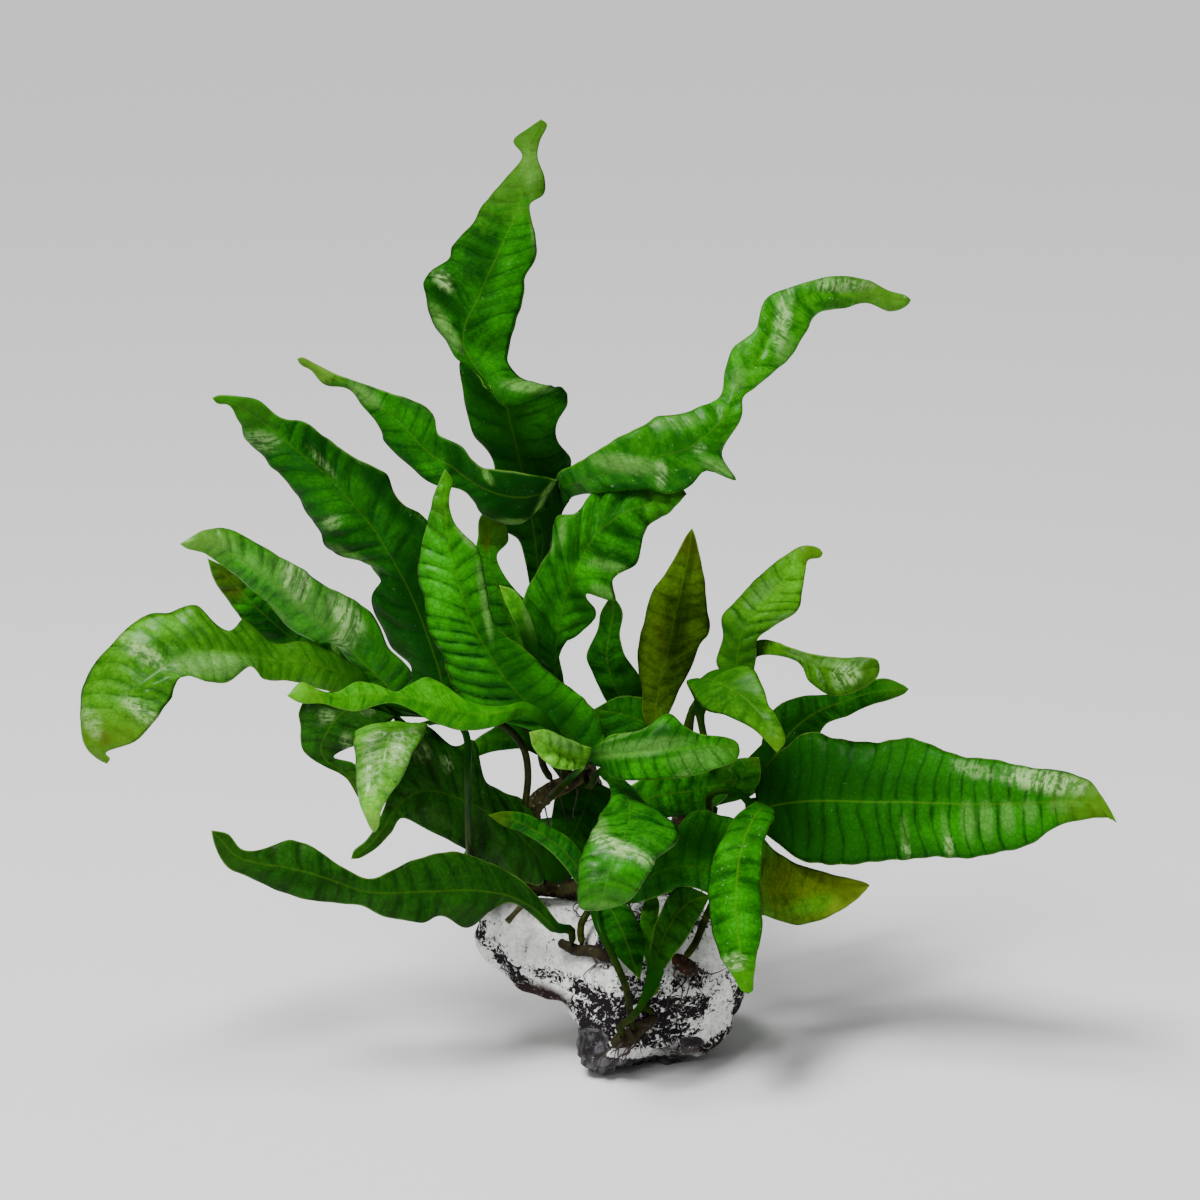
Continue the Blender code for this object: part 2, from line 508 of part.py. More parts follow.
            (813, 801, -9, 812, 733, 806, 863), (789, 803, -7, 788, 744, 786, 849),
            (769, 807, -5, 767, 764, 768, 835), (757, 812, -4, 755, 790, 753, 827),
        ],
        cup=0.12, roll=0.3, blade=10, stem=1,
        stalk=[(744, 797, -5), (729, 790, -6), (710, 796, -5)],
        seat=("rhizome_rising_right", 0.52, (1.0, -0.3, 0.5)),
    ),
    "frond_front_right_hanging": dict(
        rows=[
            (748, 994, -46, 748, 994, 748, 994), (748, 991, -46, 741, 990, 753, 991),
            (744, 976, -46, 732, 975, 754, 976), (741, 955, -45, 720, 957, 757, 955),
            (738, 930, -43, 713, 935, 762, 930), (736, 905, -40, 709, 910, 762, 905),
            (737, 880, -37, 709, 885, 761, 880), (740, 856, -33, 713, 858, 762, 854),
            (746, 836, -29, 722, 834, 768, 832), (754, 818, -24, 738, 814, 774, 818),
            (762, 806, -18, 756, 802, 772, 808),
        ],
        cup=0.2, roll=0.05, blade=8, stem=3,
        stalk=[(757, 804, -14), (745, 818, -17), (722, 880, -26), (704, 922, -22)],
        seat=("rhizome_front_right", 0.35, (0.2, -0.2, 1.0)),
    ),
    "frond_low_right_olive": dict(
        rows=[
            (870, 885, -4, 870, 885, 870, 885), (866, 886, -4, 864, 882, 865, 892),
            (848, 888, -6, 846, 877, 853, 902), (824, 892, -8, 822, 871, 828, 917),
            (798, 893, -10, 796, 863, 800, 925), (772, 889, -12, 770, 846, 770, 918),
            (745, 880, -15, 745, 822, 745, 910), (718, 872, -17, 718, 814, 718, 899),
            (692, 866, -19, 692, 812, 691, 887), (669, 868, -20, 669, 836, 668, 893),
            (648, 877, -20, 650, 858, 645, 901), (632, 889, -19, 634, 880, 630, 903),
        ],
        cup=0.12, roll=0.25, blade=7, stem=2, stalk=[(622, 893, -12)],
        seat=("rhizome_main", 0.72, (0.1, -0.9, 0.5)),
    ),
    "frond_front_folded": dict(
        rows=[
            (598, 911, -54, 598, 911, 598, 911), (602, 900, -54, 581, 907, 626, 903),
            (607, 881, -53, 578, 882, 643, 883), (613, 863, -51, 579, 860, 655, 865),
            (617, 855, -49, 582, 850, 658, 858), (622, 842, -46, 589, 838, 676, 843),
            (628, 827, -40, 596, 824, 677, 829), (630, 812, -33, 602, 813, 662, 812),
            (627, 798, -26, 610, 798, 644, 799), (619, 786, -19, 609, 786, 632, 786),
            (609, 777, -13, 602, 778, 618, 774),
        ],
        cup=0.15, roll=0.05, blade=8, stem=2, stalk=[(601, 769, -9)],
        seat=("rhizome_rising_middle", 0.95, (0.2, -1.0, -0.3)),
    ),
    "frond_lime_crumpled": dict(
        rows=[
            (529, 732, -36, 529, 732, 529, 732), (541, 742, -35, 545, 729, 535, 751),
            (557, 751, -33, 563, 736, 552, 767), (574, 757, -28, 580, 744, 572, 770),
            (586, 762, -22, 590, 752, 583, 770),
        ],
        cup=-0.2, roll=0.3, blade=5, stem=2, stalk=[],
        seat=("rhizome_rising_middle", 0.73, (-0.1, -1.0, 0.1)),
    ),
    "frond_level_middle": dict(
        rows=[
            (740, 750, -22, 740, 750, 740, 750), (737, 749, -23, 737, 741, 738, 757),
            (722, 747, -26, 726, 737, 730, 764), (702, 746, -29, 702, 734, 708, 771),
            (682, 748, -31, 684, 727, 686, 778), (662, 751, -32, 668, 713, 660, 780),
            (638, 752, -31, 642, 728, 636, 780), (616, 755, -27, 614, 735, 616, 778),
            (600, 757, -20, 598, 745, 603, 768),
        ],
        cup=0.15, roll=0.35, blade=7, stem=2, stalk=[(592, 756, -15)],
        seat=("rhizome_rising_middle", 1.0, (0.0, -0.8, 0.5)),
    ),
    "frond_shaded_middle": dict(
        rows=[
            (738, 778, 1, 738, 778, 738, 778), (720, 784, 0, 718, 764, 722, 802),
            (695, 790, -2, 693, 764, 694, 814), (668, 794, -4, 666, 770, 668, 818),
            (644, 800, -6, 642, 778, 644, 820), (624, 812, -9, 620, 796, 630, 824),
            (610, 830, -11, 604, 822, 616, 834),
        ],
        cup=0.1, roll=0.15, blade=6, stem=2, stalk=[(600, 866, -11), (593, 902, -12)],
        seat=("rhizome_front_left", 0.45, (0.4, -0.1, 1.0)),
    ),
    "frond_olive_small": dict(
        rows=[
            (759, 757, 6, 759, 757, 759, 757), (750, 768, 5, 737, 759, 761, 772),
            (739, 782, 4.5, 727, 771, 755, 793), (725, 794, 4, 714, 785, 736, 800),
            (712, 801, 4, 707, 797, 716, 806),
        ],
        cup=0.1, roll=0.0, blade=4, stem=2, stalk=[],
        seat=("rhizome_rising_right", 0.62, (1.0, 0.0, 0.5)),
    ),
    "frond_shaded_hanging": dict(
        rows=[
            (553, 858, 0, 553, 858, 553, 858), (566, 846, 1, 551, 836, 588, 864),
            (577, 826, 5, 552, 814, 606, 848), (586, 804, 9, 557, 790, 614, 818),
            (590, 787, 10, 567, 777, 617, 792),
        ],
        cup=0.1, roll=0.0, blade=5, stem=2, stalk=[],
        seat=("rhizome_rising_middle", 0.82, (0.1, 0.9, -0.4)),
    ),
    "frond_diagonal_narrow": dict(
        rows=[
            (488, 815, -30, 488, 815, 488, 815), (504, 818, -29, 506, 811, 502, 825),
            (524, 824, -27, 529, 815, 518, 831), (546, 837, -25, 551, 827, 540, 844),
            (564, 851, -23, 569, 838, 558, 859), (578, 869, -21, 583, 856, 572, 877),
            (588, 892, -21, 592, 884, 584, 896),
        ],
        cup=0.1, roll=0.1, blade=6, stem=3,
        stalk=[(598, 926, -30.5), (610, 950, -34), (626, 988, -35)],
        seat=("rhizome_foot", 0.55, (0.3, -0.4, 1.0)),
    ),
    "frond_pendant_dark": dict(
        rows=[
            (640, 980, -34, 640, 980, 640, 980), (634, 964, -33, 626, 966, 643, 964),
            (628, 946, -31, 612, 950, 644, 944), (621, 929, -28, 601, 932, 640, 926),
            (613, 913, -24, 595, 915, 630, 908), (607, 901, -19, 598, 902, 616, 898),
        ],
        cup=0.15, roll=0.0, blade=5, stem=2, stalk=[(603, 897, -17), (599, 925, -18)],
        seat=("rhizome_front_left", 0.93, (0.1, -0.1, 1.0)),
    ),
    "frond_front_young": dict(
        rows=[
            (710, 896, -32, 710, 896, 710, 896), (697, 898, -33, 690, 887, 702, 912),
            (684, 906, -34, 675, 889, 694, 925), (672, 921, -36, 663, 904, 687, 939),
            (662, 940, -38, 654, 930, 675, 954), (655, 962, -40, 649, 959, 664, 969),
        ],
        cup=-0.25, roll=0.1, blade=5, stem=3, stalk=[(650, 985, -41), (637, 1012, -40)],
        seat=("rhizome_foot", 0.35, (0.1, -0.7, 1.0)),
    ),
    "frond_front_upright": dict(
        rows=[
            (652, 888, -12, 652, 888, 652, 888), (650, 906, -17, 643, 906, 659, 903),
            (649, 926, -22, 640, 927, 657, 924), (649, 948, -26, 642, 948, 656, 947),
            (652, 968, -29, 648, 968, 656, 968),
        ],
        cup=-0.2, roll=0.0, blade=4, stem=2, stalk=[(656, 990, -31)],
        seat=("rhizome_foot", 0.97, (0.0, -0.2, 1.0)),
    ),
    "frond_olive_behind": dict(
        rows=[
            (490, 505, 16, 490, 505, 490, 505), (489, 520, 16, 479, 519, 504, 520),
            (489, 537, 15.5, 478, 537, 508, 541), (489, 554, 15, 476, 553, 497, 557),
            (495, 578, 14, 478, 580, 509, 582), (506, 608, 13, 482, 612, 528, 604),
            (520, 640, 13, 498, 648, 542, 632), (540, 675, 13, 522, 686, 554, 666),
            (560, 710, 14, 550, 718, 568, 702),
        ],
        cup=0.1, roll=0.1, blade=6, stem=2, stalk=[],
        seat=("rhizome_rising_back", 0.78, (-0.5, -1.0, 0.1)),
    ),
    "frond_middle_young": dict(
        rows=[
            (499, 585, -13, 499, 585, 499, 585), (509, 596, -13, 514, 590, 504, 600),
            (519, 612, -12, 526, 607, 511, 616), (528, 632, -8, 535, 630, 520, 634),
        ],
        cup=-0.2, roll=0.0, blade=4, stem=3, stalk=[(538, 668, -7), (554, 706, -4), (568, 738, 3)],
        seat=("rhizome_rising_middle", 0.9, (-0.4, 0.9, 0.4)),
    ),
    "frond_under_lime": dict(
        rows=[
            (418, 772, 4, 418, 772, 418, 772), (436, 764, 4, 432, 757, 440, 772),
            (462, 753, 5, 460, 749, 465, 762), (488, 742, 6, 486, 732, 490, 753),
            (510, 737, 7, 508, 722, 513, 749), (528, 739, 8, 530, 724, 526, 750),
        ],
        cup=0.1, roll=0.2, blade=5, stem=2, stalk=[(542, 750, 12), (562, 775, 14)],
        seat=("rhizome_rising_back", 0.4, (-0.6, -0.8, 0.5)),
    ),
    "frond_shaded_right": dict(
        rows=[
            (592, 710, 9, 592, 710, 592, 710), (612, 712, 8.5, 620, 696, 597, 724),
            (634, 718, 8, 644, 698, 610, 742), (656, 728, 7.5, 666, 712, 640, 750),
            (676, 746, 7.5, 684, 736, 666, 756),
        ],
        cup=0.1, roll=0.1, blade=5, stem=2, stalk=[(688, 758, 7)],
        seat=("rhizome_rising_right", 0.9, (-0.9, 0.3, 0.3)),
    ),
    "frond_back_left": dict(
        rows=[
            (282, 438, 68, 282, 438, 282, 438), (304, 458, 66, 315, 448, 292, 467),
            (334, 486, 62, 348, 471, 319, 499), (366, 520, 56, 382, 503, 348, 534),
            (394, 560, 50, 416, 543, 374, 570), (416, 606, 44, 440, 590, 396, 611),
            (430, 650, 38, 448, 640, 414, 652), (446, 690, 33, 452, 688, 440, 692),
        ],
        cup=0.2, roll=-0.3, blade=6, stem=2, stalk=[(490, 712, 31), (530, 728, 30), (560, 748, 30)],
        seat=("rhizome_rising_back", 0.5, (-0.8, 0.7, 0.3)),
    ),
    "frond_back_right": dict(
        rows=[
            (870, 795, 70, 870, 795, 870, 795), (846, 789, 69, 848, 774, 846, 806),
            (816, 783, 66, 820, 762, 814, 804), (784, 778, 61, 790, 756, 780, 800),
            (750, 774, 54, 752, 762, 748, 786), (716, 772, 46, 718, 761, 713, 783),
            (684, 764, 38, 687, 757, 681, 771),
        ],
        cup=0.2, roll=-0.35, blade=5, stem=2, stalk=[(650, 764, 31)],
        seat=("rhizome_rising_back", 0.66, (0.8, 0.6, 0.3)),
    ),
    "frond_back_middle": dict(
        rows=[
            (686, 556, 80, 686, 556, 686, 556), (682, 580, 77, 671, 577, 694, 580),
            (676, 606, 72, 660, 604, 692, 606), (670, 632, 66, 654, 632, 688, 632),
            (664, 658, 60, 651, 658, 681, 656), (658, 680, 54, 651, 680, 667, 678),
            (654, 698, 50, 651, 699, 658, 698),
        ],
        cup=0.2, roll=0.1, blade=5, stem=2, stalk=[(640, 722, 44), (612, 742, 36)],
        seat=("rhizome_rising_back", 0.8, (0.2, 1.0, 0.2)),
    ),
    "frond_back_low": dict(
        rows=[
            (452, 872, 72, 452, 872, 452, 872), (466, 866, 68, 462, 856, 468, 878),
            (486, 844, 62, 480, 830, 492, 860), (508, 830, 54, 504, 818, 512, 844),
            (532, 826, 46, 530, 819, 534, 838), (556, 822, 38, 555, 817, 558, 829),
        ],
        cup=0.2, roll=0.2, blade=5, stem=2, stalk=[],
        seat=("rhizome_rising_back", 0.3, (-0.5, 1.0, 0.1)),
    ),
}

LEAF_COLOURS = {
    "olive": (0.08, 0.10, 0.008, 1.0),
    "dark": (0.012, 0.07, 0.004, 1.0),
    "shaded": (0.012, 0.07, 0.004, 1.0),
    "lime": (0.11, 0.34, 0.012, 1.0),
    "pale": (0.16, 0.36, 0.04, 1.0),
    "young": (0.10, 0.30, 0.015, 1.0),
    "yellow": (0.13, 0.27, 0.01, 1.0),
}
LEAF_GREEN = (0.03, 0.18, 0.006, 1.0)


def leaf_colour(name):
    for word, colour in LEAF_COLOURS.items():
        if word in name:
            return colour
    return LEAF_GREEN


def edge_depth(depth, midrib, edge, slope, extra):
    width = math.hypot(edge[0] - midrib[0], edge[1] - midrib[1]) * PIXEL_SIZE
    return depth + slope * width + extra


def blade_rails(frond):
    """The midrib and the two edges of a blade as real points, from its tip to its base."""
    middle, edge_a, edge_b = [], [], []
    for row in frond["rows"]:
        mx, my, depth, ax, ay, bx, by = row[:7]
        extra_a, extra_b = row[7:] if len(row) > 7 else (0.0, 0.0)
        depth_a = edge_depth(depth, (mx, my), (ax, ay), frond["cup"] + frond["roll"], extra_a)
        depth_b = edge_depth(depth, (mx, my), (bx, by), frond["cup"] - frond["roll"], extra_b)
        middle.append(picture_point(mx, my, depth))
        edge_a.append(picture_point(ax, ay, depth_a))
        edge_b.append(picture_point(bx, by, depth_b))
    return middle, edge_a, edge_b


def stalk_seat(route, fraction, aim):
    """Where a stalk meets its rhizome, and the way it leaves, square to the rhizome."""
    points, radii = route
    t = fraction * (len(points) - 1)
    place = along_spline(points, t)
    ahead = along_spline(points, min(t + SEAT_LOOK, len(points) - 1.0))
    behind = along_spline(points, max(t - SEAT_LOOK, 0.0))
    run = (ahead - behind).normalized()
    out = Vector(aim)
    out = (out - run * out.dot(run)).normalized()
    radius = along_spline([Vector((r, 0.0, 0.0)) for r in radii], t).x * (1.0 + RHIZOME_SWELL)
    return place + out * (radius + GAP), out


def frond_ring(centre, half_a, half_b, normal_a, normal_b, thickness, roundness):
    """Eight points round a blade or stalk: the two edges, the midrib and the shoulders between."""
    across = 0.5 * (1.0 - roundness) + STALK_SHOULDER * roundness
    half_mid = thickness / 2.0
    blade_part = BLADE_SHOULDER / BLADE_THICKNESS * (1.0 - roundness)
    half_shoulder = half_mid * (blade_part + STALK_SHOULDER * roundness)
    ridge = (normal_a + normal_b).normalized() * half_mid
    shoulder_a = centre + half_a * across
    shoulder_b = centre + half_b * across
    return [
        centre + half_a,
        shoulder_a + normal_a * half_shoulder,
        centre + ridge,
        shoulder_b + normal_b * half_shoulder,
        centre + half_b,
        shoulder_b - normal_b * half_shoulder,
        centre - ridge,
        shoulder_a - normal_a * half_shoulder,
    ]


def frond_rings(frond, routes):
    """The cross-sections of a frond from its tip to the rhizome."""
    middle, edge_a, edge_b = blade_rails(frond)
    rhizome, fraction, aim = frond["seat"]
    seat, out = stalk_seat(routes[rhizome], fraction, aim)
    stalk = [picture_point(*point) for point in frond["stalk"]]
    centres = middle + stalk + [seat + out * STALK_LEAVES_RHIZOME, seat]
    base = len(middle) - 1.0
    end = len(centres) - 1.0
    if "rings_at" in frond:
        stations = [float(row) for row in frond["rings_at"]]
    else:
        stations = [base * k / frond["blade"] for k in range(frond["blade"] + 1)]
    steps = frond["stem"] + 1
    stations += [base + (end - 1.0 - base) * k / steps for k in range(1, steps + 1)] + [end]
    rings = []
    side = None
    for t in stations:
        centre = along_spline(centres, t)
        ahead = along_spline(centres, min(t + SPLINE_LOOK, end))
        behind = along_spline(centres, max(t - SPLINE_LOOK, 0.0))
        run = (ahead - behind).normalized()
        if t <= base:
            half_a = along_spline(edge_a, t) - centre
            half_b = along_spline(edge_b, t) - centre
            if t == 0.0:
                rings.append([centre] * 8)
                continue
            side = (half_b - half_a).normalized()
            thickness, roundness = BLADE_THICKNESS * min(1.0, BLADE_TIP + t), 0.0
        else:
            side = (side - run * side.dot(run)).normalized()
            half_a, half_b = side * -STALK_RADIUS, side * STALK_RADIUS
            thickness, roundness = STALK_RADIUS * 2.0, 1.0
        normal_a = run.cross(half_a).normalized() * -1.0
        normal_b = run.cross(half_b).normalized()
        if normal_a.dot(normal_b) < 0.0:
            normal_a = normal_b
        rings.append(frond_ring(centre, half_a, half_b, normal_a, normal_b, thickness, roundness))
    rings.append([seat] * 8)
    return rings


def make_frond(name, frond, routes, collection):
    rings = frond_rings(frond, routes)
    sides = 8
    rows = len(rings) - 1
    bm = bmesh.new()
    bmesh.ops.create_grid(bm, x_segments=sides, y_segments=rows, size=1.0)
    for vertex in bm.verts:
        i = round((vertex.co.x + 1.0) / 2.0 * sides) % sides
        j = round((vertex.co.y + 1.0) / 2.0 * rows)
        vertex.co = rings[j][i]
    bmesh.ops.remove_doubles(bm, verts=bm.verts, dist=0.001)
    finished(name, bm, material(name, leaf_colour(name), 0.35), collection)


# The old stalk stub that leans on the stone, its lower end cut off blunt
STUB_TOP = (524, 903, -14)
STUB_END = (507, 922, -17)
STUB_RADIUS = 0.8
STUB_TAPER = 0.9
STUB_LIFT = 0.3


def make_stub(surface, collection):
    bm = bmesh.new()
    off = STUB_RADIUS + GAP + STUB_LIFT
    top = moved_off(surface, picture_point(*STUB_TOP), off)
    end = moved_off(surface, picture_point(*STUB_END), off)
    run = end - top
    place = Matrix.Translation((top + end) / 2.0) @ run.to_track_quat("Z", "Y").to_matrix().to_4x4()
    bmesh.ops.create_cone(
        bm, cap_ends=True, segments=8, radius1=STUB_RADIUS, radius2=STUB_RADIUS * STUB_TAPER,
        depth=run.length, matrix=place,
    )
    finished("stalk_stub", bm, material("stalk_stub", RHIZOME_GREEN, 0.6), collection)


def build():
    collection = empty_scene()
    surface = make_stone(collection)
    routes = settle_rhizomes(surface)
    for name, route in routes.items():
        make_rhizome(name, route, surface, collection)
    make_stub(surface, collection)
    for name, frond in FRONDS.items():
        make_frond(name, frond, routes, collection)


build()
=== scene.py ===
import math
import random

import bmesh
import bpy
import numpy as np
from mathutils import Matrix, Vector, noise
from mathutils.bvhtree import BVHTree


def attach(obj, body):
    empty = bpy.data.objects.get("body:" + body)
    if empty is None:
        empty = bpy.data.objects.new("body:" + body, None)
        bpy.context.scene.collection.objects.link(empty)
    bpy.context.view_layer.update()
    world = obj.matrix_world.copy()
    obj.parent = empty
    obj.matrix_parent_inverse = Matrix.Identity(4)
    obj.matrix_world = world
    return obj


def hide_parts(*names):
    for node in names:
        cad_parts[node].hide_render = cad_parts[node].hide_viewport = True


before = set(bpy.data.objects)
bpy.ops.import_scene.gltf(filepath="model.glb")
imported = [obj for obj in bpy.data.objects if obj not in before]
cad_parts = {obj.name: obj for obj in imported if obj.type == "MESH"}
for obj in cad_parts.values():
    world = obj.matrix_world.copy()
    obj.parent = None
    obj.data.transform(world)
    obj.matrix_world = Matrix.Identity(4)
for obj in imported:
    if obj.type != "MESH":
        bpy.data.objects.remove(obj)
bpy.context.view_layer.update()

# Everything is worked out in millimetres and turned into metres when its mesh is finished.
# +X is right in the reference picture, +Y away from its viewer, +Z up.
mm = 0.001
# points of a skin that lie nearer to each other than this become one
weld = 0.002

# how the reference picture was taken, and where its middle is, right of and above the origin
view = {
    "pixel": 0.28, "distance": 1100.0, "elevation": math.radians(15.0), "size": 1200,
    "right": -11.2, "up": 126.6, "sensor": 36.0, "farthest": 40.0,
}
viewRight = np.array((1.0, 0.0, 0.0))
viewUp = np.array((0.0, math.sin(view["elevation"]), math.cos(view["elevation"])))
viewForward = np.array((0.0, math.cos(view["elevation"]), -math.sin(view["elevation"])))
viewer = viewRight * view["right"] + viewUp * view["up"] - viewForward * view["distance"]


def makeCamera():
    data = bpy.data.cameras.new("picture_camera")
    data.sensor_width = view["sensor"]
    data.lens = view["sensor"] * view["distance"] / (view["pixel"] * view["size"])
    data.clip_end = view["farthest"]
    camera = bpy.data.objects.new("picture_camera", data)
    camera.location = Vector(viewer * mm)
    camera.rotation_euler = (math.pi / 2.0 - view["elevation"], 0.0, 0.0)
    bpy.context.scene.collection.objects.link(camera)
    bpy.context.scene.camera = camera


makeCamera()
print("camera placed")


def picturePoint(px, py, depth):
    # the real place seen at a pixel, depth mm behind the origin's vertical plane
    middle = view["size"] / 2.0
    ray = viewForward * view["distance"]
    ray = ray + viewRight * (px - middle) * view["pixel"] + viewUp * (middle - py) * view["pixel"]
    return viewer + ray * ((depth - viewer[1]) / ray[1])


def picturePixels(places):
    # the pixel at which each real place is seen
    ray = places - viewer
    scale = view["distance"] / (ray @ viewForward) / view["pixel"]
    middle = view["size"] / 2.0
    return middle + (ray @ viewRight) * scale, middle - (ray @ viewUp) * scale


def smoothStep(low, high, value):
    f = np.clip((value - low) / (high - low), 0.0, 1.0)
    return f * f * (3.0 - 2.0 * f)


# Marks and folds are ovals in the reference picture: the pixel of the middle, the half length, the half
# width, the turn in degrees, and how strong it is. Where the edge of the oval is 1, a mark is full as far
# as "full" and over at "gone". A fold dies away at the rate "fall".
oval = {"full": 0.5, "gone": 1.3, "fall": 1.4}


def fromMiddle(px, py, mx, my, length, width, turn):
    # how far each pixel is from the middle of an oval, whose edge is at 1
    c, d = math.cos(math.radians(turn)), math.sin(math.radians(turn))
    down = ((px - mx) * c + (py - my) * d) / length
    aside = ((py - my) * c - (px - mx) * d) / width
    return np.hypot(down, aside)


def markField(places, marks):
    # how strongly the marks lie on each place
    px, py = picturePixels(places)
    amount = np.zeros(np.shape(px))
    for *shape, strength in marks:
        away = fromMiddle(px, py, *shape)
        amount = np.maximum(amount, strength * smoothStep(oval["gone"], oval["full"], away))
    return amount


def foldField(places, folds):
    # soft ridges and hollows, in millimetres towards the viewer
    px, py = picturePixels(places)
    height = np.zeros(np.shape(px))
    for *shape, rise in folds:
        height = height + rise * np.exp(-oval["fall"] * fromMiddle(px, py, *shape) ** 2)
    return height


def lumps(point, waves):
    # the sum of several noises at a point: each has its height, the width of its lumps and its offset
    return sum(height * noise.noise(point / width + Vector(offset)) for height, width, offset in waves)


def along(points, t):
    # places on the smooth curve through the points, where t counts them from the first
    points = np.asarray(points, float)
    t = np.asarray(t, float)
    ends = [2 * points[0] - points[1]], [2 * points[-1] - points[-2]]
    p = np.concatenate([ends[0], points, ends[1]])
    i = np.minimum(t.astype(int), len(points) - 2)
    f = (t - i).reshape(t.shape + (1,) * (points.ndim - 1))
    p0, p1, p2, p3 = p[i], p[i + 1], p[i + 2], p[i + 3]
    bend = (2 * p0 - 5 * p1 + 4 * p2 - p3) * f * f + (3 * p1 - p0 - 3 * p2 + p3) * f ** 3
    return p1 + ((p2 - p0) * f + bend) * 0.5


def lengthAlong(places):
    # how far each place is from the first, measured along the line of them
    return np.concatenate([[0.0], np.cumsum(np.linalg.norm(np.diff(places, axis=0), axis=1))])


def unit(vectors):
    length = np.linalg.norm(vectors, axis=-1, keepdims=True)
    return vectors / np.maximum(length, 1e-9)


def squareTo(run, steady):
    # two directions square to each run and to each other; steady is one that no run has
    across = unit(np.cross(run, steady))
    return across, np.cross(run, across)


def ringsAround(centre, across, upward, radius, angle):
    # a ring of points about each centre
    ring = across[:, None] * np.cos(angle)[None, :, None] + upward[:, None] * np.sin(angle)[None, :, None]
    return centre[:, None] + ring * radius[..., None]


def wholeTurn(around):
    return np.linspace(0.0, 2.0 * np.pi, around + 1)


def finishPiece(name, mesh, replaced=()):
    # shades the mesh smooth and hands the piece to the frame
    mesh.shade_smooth()
    piece = bpy.data.objects.new(name, mesh)
    bpy.context.scene.collection.objects.link(piece)
    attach(piece, "root")
    if replaced:
        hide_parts(*replaced)


def addFields(mesh, fields):
    for name, values in fields.items():
        layer = mesh.attributes.new(name, "FLOAT", "POINT")
        layer.data.foreach_set("value", values.reshape(-1).astype(np.float32))


def wrappedMesh(name, places, fields):
    # a closed skin from rings of points: a grid is rolled up and its first and last rings close to a point
    rings, around = places.shape[:2]
    bm = bmesh.new()
    bmesh.ops.create_grid(bm, x_segments=around - 1, y_segments=rings - 1, size=1.0)
    mesh = bpy.data.meshes.new(name)
    bm.to_mesh(mesh)
    bm.free()
    mesh.vertices.foreach_set("co", places.reshape(-1).astype(np.float32))
    addFields(mesh, fields)
    bm = bmesh.new()
    bm.from_mesh(mesh)
    bmesh.ops.remove_doubles(bm, verts=bm.verts, dist=weld)
    bmesh.ops.scale(bm, vec=(mm, mm, mm), verts=bm.verts)
    bmesh.ops.recalc_face_normals(bm, faces=bm.faces)
    bm.to_mesh(mesh)
    bm.free()
    return mesh


# Materials are put together with these few helpers. A pattern is its size in millimetres, its detail, its
# roughness and its warp, and a colour is a socket or three numbers.


def newMaterial(name):
    mat = bpy.data.materials.new(name)
    mat.use_nodes = True
    return mat, mat.node_tree


def feed(tree, socket, value):
    if isinstance(value, bpy.types.NodeSocket):
        tree.links.new(value, socket)
    else:
        socket.default_value = value


def setShader(tree, values):
    shader = tree.nodes["Principled BSDF"]
    for name, value in values.items():
        feed(tree, shader.inputs[name], value)


def calc(tree, operation, *values):
    step = tree.nodes.new("ShaderNodeMath")
    step.operation = operation
    for socket, value in zip(step.inputs, values):
        feed(tree, socket, value)
    return step.outputs[0]


def plus(tree, first, second):
    return calc(tree, "ADD", first, second)


def times(tree, first, second):
    return calc(tree, "MULTIPLY", first, second)


def mixColour(tree, amount, low, high):
    step = tree.nodes.new("ShaderNodeMix")
    step.data_type = "RGBA"
    feed(tree, step.inputs[0], amount)
    for socket, colour in zip(step.inputs[6:8], (low, high)):
        feed(tree, socket, (*colour, 1.0) if isinstance(colour, tuple) else colour)
    return step.outputs[2]


def band(tree, value, low, high, toLow=0.0, toHigh=1.0):
    # eases from toLow to toHigh as the value goes from low to high
    step = tree.nodes.new("ShaderNodeMapRange")
    step.interpolation_type = "SMOOTHSTEP"
    for socket, number in zip(step.inputs, (value, low, high, toLow, toHigh)):
        feed(tree, socket, number)
    return step.outputs[0]


def objectPlace(tree):
    return tree.nodes.new("ShaderNodeTexCoord").outputs["Object"]


def field(tree, name):
    step = tree.nodes.new("ShaderNodeAttribute")
    step.attribute_name = name
    return step.outputs["Fac"]


def cloud(tree, place, size, detail, roughness=0.5, warp=0.0):
    # soft noise from 0 to 1
    step = tree.nodes.new("ShaderNodeTexNoise")
    feed(tree, step.inputs["Vector"], place)
    step.inputs["Scale"].default_value = 1.0 / (size * mm)
    step.inputs["Detail"].default_value = detail
    step.inputs["Roughness"].default_value = roughness
    step.inputs["Distortion"].default_value = warp
    return step.outputs["Fac"]


def cells(tree, place, size):
    # how far a place is from the edge of its cell
    step = tree.nodes.new("ShaderNodeTexVoronoi")
    step.feature = "DISTANCE_TO_EDGE"
    feed(tree, step.inputs["Vector"], place)
    step.inputs["Scale"].default_value = 1.0 / (size * mm)
    return step.outputs["Distance"]


def bump(tree, height, depth, strength, under=None):
    step = tree.nodes.new("ShaderNodeBump")
    step.inputs["Strength"].default_value = strength
    step.inputs["Distance"].default_value = depth * mm
    feed(tree, step.inputs["Height"], height)
    if under is not None:
        feed(tree, step.inputs["Normal"], under)
    return step.outputs["Normal"]


# Stone: an irregular lump with a crusty pale skin, black pits, and a dark foot

